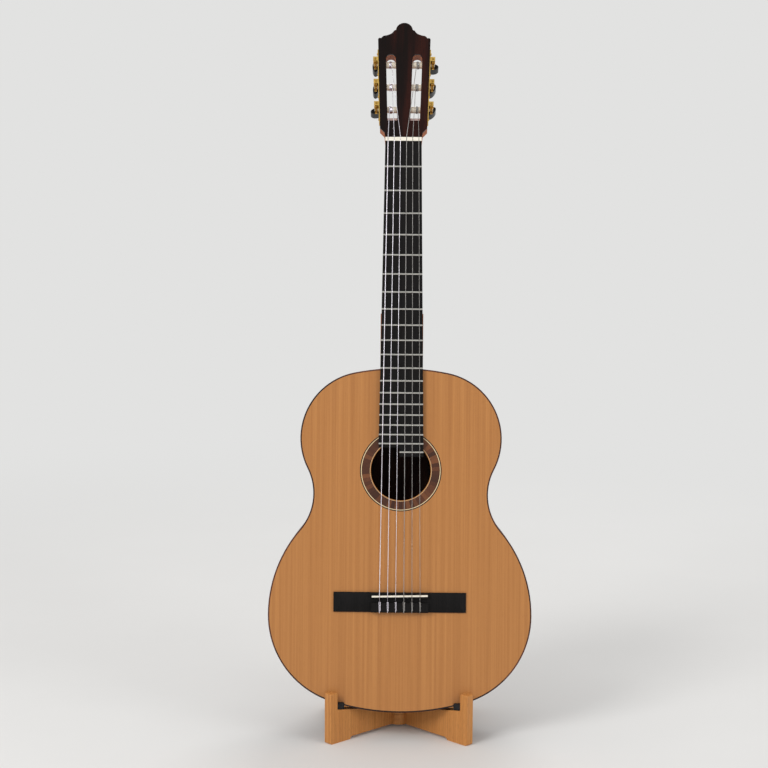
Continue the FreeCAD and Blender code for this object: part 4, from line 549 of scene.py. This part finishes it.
tile_tone = math_node(tree, "MULTIPLY_ADD", shade, 0.5, math_node(tree, "MULTIPLY", fibre, 0.55), clamp=True)
tiles = ramp(tree, tile_tone, (0.15, tone(42, 20, 12)), (0.55, tone(88, 48, 27)), (0.95, tone(134, 82, 46)))
inner = math_node(tree, "LESS_THAN", radius, INNER_LINE_END)
past_start = math_node(tree, "GREATER_THAN", radius, OUTER_LINE_START)
before_end = math_node(tree, "LESS_THAN", radius, OUTER_LINE_END)
pale_lines = math_node(tree, "MAXIMUM", inner, math_node(tree, "MULTIPLY", past_start, before_end))
rim = math_node(tree, "GREATER_THAN", radius, OUTER_LINE_END)
colour = blend_colour(tree, pale_lines, tiles, tone(228, 204, 160))
colour = blend_colour(tree, rim, colour, tone(38, 22, 18))
finish_surface(tree, shader, centred, colour, 0.28, 0.4, height=fibre, depth=0.00001)
shader.inputs["Coat Weight"].default_value = 0.1
shader.inputs["Specular IOR Level"].default_value = 0.3
finishes["rosette_wood"] = material
print("rosette tiles:", TILE_COUNT)

# %% [markdown]
# ## Bone, metal, strings and plastic
# Bone is ivory with faint long fibres. The tuning plates are gold plated brass, polished but a little
# clouded. The frets are nickel silver. The three bass strings are wound with silvered wire, and the three
# treble strings are clear nylon. Real windings in geometry would be very heavy, so a wave along the string
# gives their ridges as bump.

# %% Bone
def speckled(name, dark, light, scale, smooth, rough, metallic=0.0, coat=0.0, height_scale=None,
             depth=0.00002, lean=LEAN, shine=0.5):
    """Finish whose colour drifts gently between two tones."""
    material, tree, shader = start_material(name)
    vector = grain_vector(tree, lean=lean, origin=HOLE)
    drift = stretched_noise(tree, vector, scale, 4.0, 0.6)
    colour = ramp(tree, drift, (0.32, dark), (0.68, light))
    height = stretched_noise(tree, vector, height_scale, 2.0) if height_scale else None
    finish_surface(tree, shader, vector, colour, smooth, rough, marks=60.0, height=height, depth=depth)
    shader.inputs["Metallic"].default_value = metallic
    shader.inputs["Coat Weight"].default_value = coat
    shader.inputs["Specular IOR Level"].default_value = shine
    return material


BONE_FIBRES = (260, 900, 900)
finishes["bone"] = speckled(
    "bone", tone(232, 224, 206), tone(244, 239, 226), BONE_FIBRES, smooth=0.26, rough=0.4, coat=0.1,
)
finishes["roller_bone"] = speckled(
    "roller_bone", tone(206, 192, 170), tone(230, 219, 200), BONE_FIBRES, smooth=0.26, rough=0.42, coat=0.1,
)
print("bone ready")

# %% Metals
finishes["fret_silver"] = speckled(
    "fret_silver", tone(176, 174, 168), tone(206, 204, 198), (90, 900, 900),
    smooth=0.22, rough=0.38, metallic=1.0, height_scale=(60, 5000, 5000), depth=0.000004,
)
finishes["gold_brass"] = speckled(
    "gold_brass", tone(186, 150, 74), tone(226, 190, 108), (160, 160, 160),
    smooth=0.24, rough=0.42, metallic=1.0, height_scale=(4000, 4000, 90), depth=0.000004,
)
finishes["screw_brass"] = speckled(
    "screw_brass", tone(196, 150, 74), tone(230, 190, 106), (400, 400, 400),
    smooth=0.24, rough=0.42, metallic=1.0, height_scale=(900, 900, 900), depth=0.000006,
)
# The gear and the worm get darker tones than the plates; the darkening is painted shade for the gaps under
# the plates.
finishes["gear_brass"] = speckled(
    "gear_brass", tone(150, 112, 50), tone(206, 164, 84), (300, 300, 300),
    smooth=0.24, rough=0.4, metallic=1.0, height_scale=(2500, 2500, 2500), depth=0.000004,
)
finishes["worm_steel"] = speckled(
    "worm_steel", tone(140, 106, 50), tone(198, 158, 84), (260, 260, 260),
    smooth=0.2, rough=0.36, metallic=1.0, height_scale=(3000, 3000, 3000), depth=0.000003,
)
finishes["pin_steel"] = speckled(
    "pin_steel", tone(150, 150, 150), tone(186, 186, 184), (200, 200, 200),
    smooth=0.28, rough=0.46, metallic=1.0, height_scale=(1200, 1200, 1200), depth=0.00001, lean=0.0,
)
print("metals ready")

# %% Wound strings
WINDING_PITCH = 0.00042
material, tree, shader = start_material("wound_string")
vector = grain_vector(tree, **ALONG)
parts = add(tree, "SeparateXYZ", {0: vector})
ridges = math_node(tree, "SINE", math_node(tree, "MULTIPLY", parts.outputs["Z"], TURN / WINDING_PITCH))
tarnish = stretched_noise(tree, vector, (40, 40, 24), 4.0)
colour = ramp(tree, tarnish, (0.3, tone(212, 206, 214)), (0.7, tone(244, 240, 248)))
finish_surface(tree, shader, vector, colour, 0.24, 0.4, marks=60.0, height=ridges, depth=0.000012)
shader.inputs["Metallic"].default_value = 1.0
finishes["wound_string"] = material
print("wound strings ready, winding pitch", WINDING_PITCH)

# %% Nylon strings
material, tree, shader = start_material("nylon_string")
vector = grain_vector(tree, **ALONG)
cloud = stretched_noise(tree, vector, (400, 400, 30), 3.0)
colour = ramp(tree, cloud, (0.3, tone(164, 160, 156)), (0.7, tone(200, 196, 192)))
finish_surface(tree, shader, vector, colour, 0.16, 0.3, marks=60.0)
shader.inputs["Transmission Weight"].default_value = 0.55
shader.inputs["IOR"].default_value = 1.53
finishes["nylon_string"] = material
print("nylon strings ready")

# %% Buttons and pads
finishes["black_button"] = speckled(
    "black_button", tone(7, 7, 7), tone(20, 18, 18), (90, 220, 220), smooth=0.2, rough=0.34, shine=0.14,
)
finishes["black_pad"] = speckled(
    "black_pad", tone(18, 18, 19), tone(34, 34, 35), (500, 500, 500),
    smooth=0.7, rough=0.86, height_scale=(1400, 1400, 1400), depth=0.0002, lean=0.0, shine=0.3,
)
print("plastics ready")

# %% [markdown]
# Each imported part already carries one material, whose name says what it is made of. That name picks the
# finish. Only the ribs and bindings are chosen by part, because their grain runs another way than the
# back's.

# %% Put each finish on its parts
for name, part in nodes.items():
    finish = finishes[part.data.materials[0].name.split(".")[0]]
    if name in ("rib_bass", "rib_treble", "bindings"):
        finish = rib_rosewood
    for index in range(len(part.data.materials)):
        part.data.materials[index] = finish
print("finished parts:", len(nodes))

# %% [markdown]
# ## Rollers and their string
# Each tuner winds its string on a bone roller. A solid model shows the turns as plain rings of the same
# bone. Here the roller is turned from its outline, as on a lathe, and the string is a round wire spun round
# it with a small step sideways, which gives a real helix. Both ride on the roller's own body, so they turn
# with the tuner.

# %% Piece helpers
def place_piece(name, form, finish, body):
    """Object made from a bmesh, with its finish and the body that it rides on."""
    bmesh.ops.recalc_face_normals(form, faces=form.faces)
    mesh = bpy.data.meshes.new(name)
    form.to_mesh(mesh)
    form.free()
    for face in mesh.polygons:
        face.use_smooth = True
    mesh.materials.append(finish)
    piece = bpy.data.objects.new(name, mesh)
    scene.collection.objects.link(piece)
    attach(piece, body)
    return piece


def turned_form(outline, centre, steps):
    """Shape turned round a line along X from an outline of places along the line and distances from it."""
    form = bmesh.new()
    points = [form.verts.new((x, centre.y - radius, centre.z)) for x, radius in outline]
    edges = [form.edges.new(pair) for pair in zip(points, points[1:])]
    bmesh.ops.spin(form, geom=points + edges, cent=centre, axis=(1, 0, 0), dvec=(0, 0, 0),
                   angle=TURN, steps=steps, use_merge=True)
    bmesh.ops.remove_doubles(form, verts=form.verts, dist=0.000001)
    return form


print("piece helpers ready")

# %% Bone rollers
REEL_CENTRES = {}
for joint in frame["joints"]:
    if joint["name"].startswith("reel_turn_"):
        REEL_CENTRES[joint["name"][-1]] = Vector(joint["pos_m"])
BARREL_RADIUS = 0.00475
SPINDLE_RADIUS = 0.002
ROUNDING = 0.0005
LATHE_STEPS = 48


def roller_reach(number, least):
    """Lowest and highest X of the points of a roller that are at least this far from its line."""
    centre = REEL_CENTRES[number]
    reach = []
    for point in nodes["roller_" + number].data.vertices:
        if math.hypot(point.co.y - centre.y, point.co.z - centre.z) > least:
            reach.append(point.co.x)
    return min(reach), max(reach)


for number, centre in REEL_CENTRES.items():
    side = 1 if centre.x > 0 else -1
    barrel = sorted(side * x for x in roller_reach(number, BARREL_RADIUS * 0.98))
    whole = sorted(side * x for x in roller_reach(number, 0.0))
    outline = [
        (barrel[0], 0), (barrel[0], BARREL_RADIUS - ROUNDING), (barrel[0] + ROUNDING, BARREL_RADIUS),
        (barrel[1] - ROUNDING, BARREL_RADIUS), (barrel[1], BARREL_RADIUS - ROUNDING),
        (barrel[1], SPINDLE_RADIUS), (whole[1] - ROUNDING / 2, SPINDLE_RADIUS),
        (whole[1], SPINDLE_RADIUS - ROUNDING / 2), (whole[1], 0),
    ]
    form = turned_form([(side * x, radius) for x, radius in outline], centre, LATHE_STEPS)
    bone = finishes["roller_bone"]
    core = place_piece("bone_roller_" + number, form, bone, "reel_" + number)
    sharp = core.modifiers.new("edges", "EDGE_SPLIT")
    sharp.split_angle = math.radians(35)
    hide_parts("roller_" + number)
print("rollers:", sorted(REEL_CENTRES))

# %% [markdown]
# A string meets its roller at one place and winds sideways from there. The rollers of the two outer strings
# wind towards the middle of the head, and the others wind outwards. A torus for each turn would be simpler,
# but rings don't join up, so one circle is spun several times round with a step.

# %% Turns of string
STRING_TURNS = {"6": 3, "5": 4, "4": 4, "3": 3, "2": 4, "1": 4}
BASS_STRINGS = ("6", "5", "4")
OUTER_STRINGS = ("6", "1")
STEPS_PER_TURN = 32
TURN_SPACING = 2.15
WIRE_SIDES = 12
END_REACH = 0.0013


def string_end(number):
    """Middle of the end of a string at its roller, and the string's thickness."""
    points = [v.co for v in nodes["string_" + number].data.vertices]
    top = max(points, key=lambda point: point.z)
    ring = [point for point in points if (point - top).length < END_REACH]
    low = Vector([min(p[i] for p in ring) for i in range(3)])
    high = Vector([max(p[i] for p in ring) for i in range(3)])
    return (low + high) / 2, high.x - low.x


for number, centre in REEL_CENTRES.items():
    start, thickness = string_end(number)
    wire = thickness / 2
    out = Vector((0, start.y - centre.y, start.z - centre.z)).normalized()
    side = 1 if centre.x > 0 else -1
    away = -side if number in OUTER_STRINGS else side
    step = away * TURN_SPACING * wire / STEPS_PER_TURN
    turns = STRING_TURNS[number]
    form = bmesh.new()
    bmesh.ops.create_circle(form, cap_ends=False, segments=WIRE_SIDES, radius=wire)
    upright = Matrix((Vector((1, 0, 0)), out, Vector((1, 0, 0)).cross(out))).transposed()
    bmesh.ops.rotate(form, verts=form.verts, cent=(0, 0, 0), matrix=upright)
    seat = Vector((start.x, centre.y, centre.z)) + out * (BARREL_RADIUS + wire)
    bmesh.ops.translate(form, verts=form.verts, vec=seat)
    bmesh.ops.spin(form, geom=form.verts[:] + form.edges[:], cent=centre, axis=(-1, 0, 0),
                   dvec=(step, 0, 0), angle=TURN * turns, steps=STEPS_PER_TURN * turns)
    bmesh.ops.remove_doubles(form, verts=form.verts, dist=0.000001)
    bmesh.ops.holes_fill(form, edges=form.edges, sides=0)
    slot = "wound_string" if number in BASS_STRINGS else "nylon_string"
    place_piece("string_turns_" + number, form, finishes[slot], "reel_" + number)
    print("string", number, "thickness", round(thickness, 5), "turns", turns)

# %% [markdown]
# ## Soft pads on the stand
# Wherever the guitar touches the stand there is a pad of black foam. Foam is cut with soft, rounded edges.
# A bevel would need every cut edge to be found, so the whole pad is remade as an even grid of small faces
# and then relaxed, which rounds edges and corners the way foam does and keeps the wide faces in place. The
# pads in front of the guitar are cut low first, because only a little of them stands up in front of its
# edge.

# %% Foam pads
FOAM_GRID = 0.0009
RELAX_PASSES = 7
FRONT_PAD_END = -0.06
FRONT_PAD_TOP = 0.0575
for side, body in (("left", "left_leg"), ("right", "right_leg")):
    form = bmesh.new()
    form.from_mesh(nodes["pads_" + side].data)
    bmesh.ops.remove_doubles(form, verts=form.verts, dist=0.000005)
    for point in form.verts:
        if point.co.y < FRONT_PAD_END and point.co.z > FRONT_PAD_TOP:
            point.co.z = FRONT_PAD_TOP
    block_mesh = bpy.data.meshes.new("foam_block_" + side)
    form.to_mesh(block_mesh)
    form.free()
    block = bpy.data.objects.new("foam_block_" + side, block_mesh)
    scene.collection.objects.link(block)
    grid = block.modifiers.new("even_grid", "REMESH")
    grid.mode = "VOXEL"
    grid.voxel_size = FOAM_GRID
    even = bpy.data.meshes.new_from_object(block.evaluated_get(bpy.context.evaluated_depsgraph_get()))
    bpy.data.objects.remove(block)
    form = bmesh.new()
    form.from_mesh(even)
    for relaxing in range(RELAX_PASSES):
        bmesh.ops.smooth_vert(form, verts=form.verts, factor=0.5,
                              use_axis_x=True, use_axis_y=True, use_axis_z=True)
    foam = place_piece("foam_pads_" + side, form, finishes["black_pad"], body)
    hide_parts("pads_" + side)
    print(foam.name, "faces:", len(foam.data.polygons))
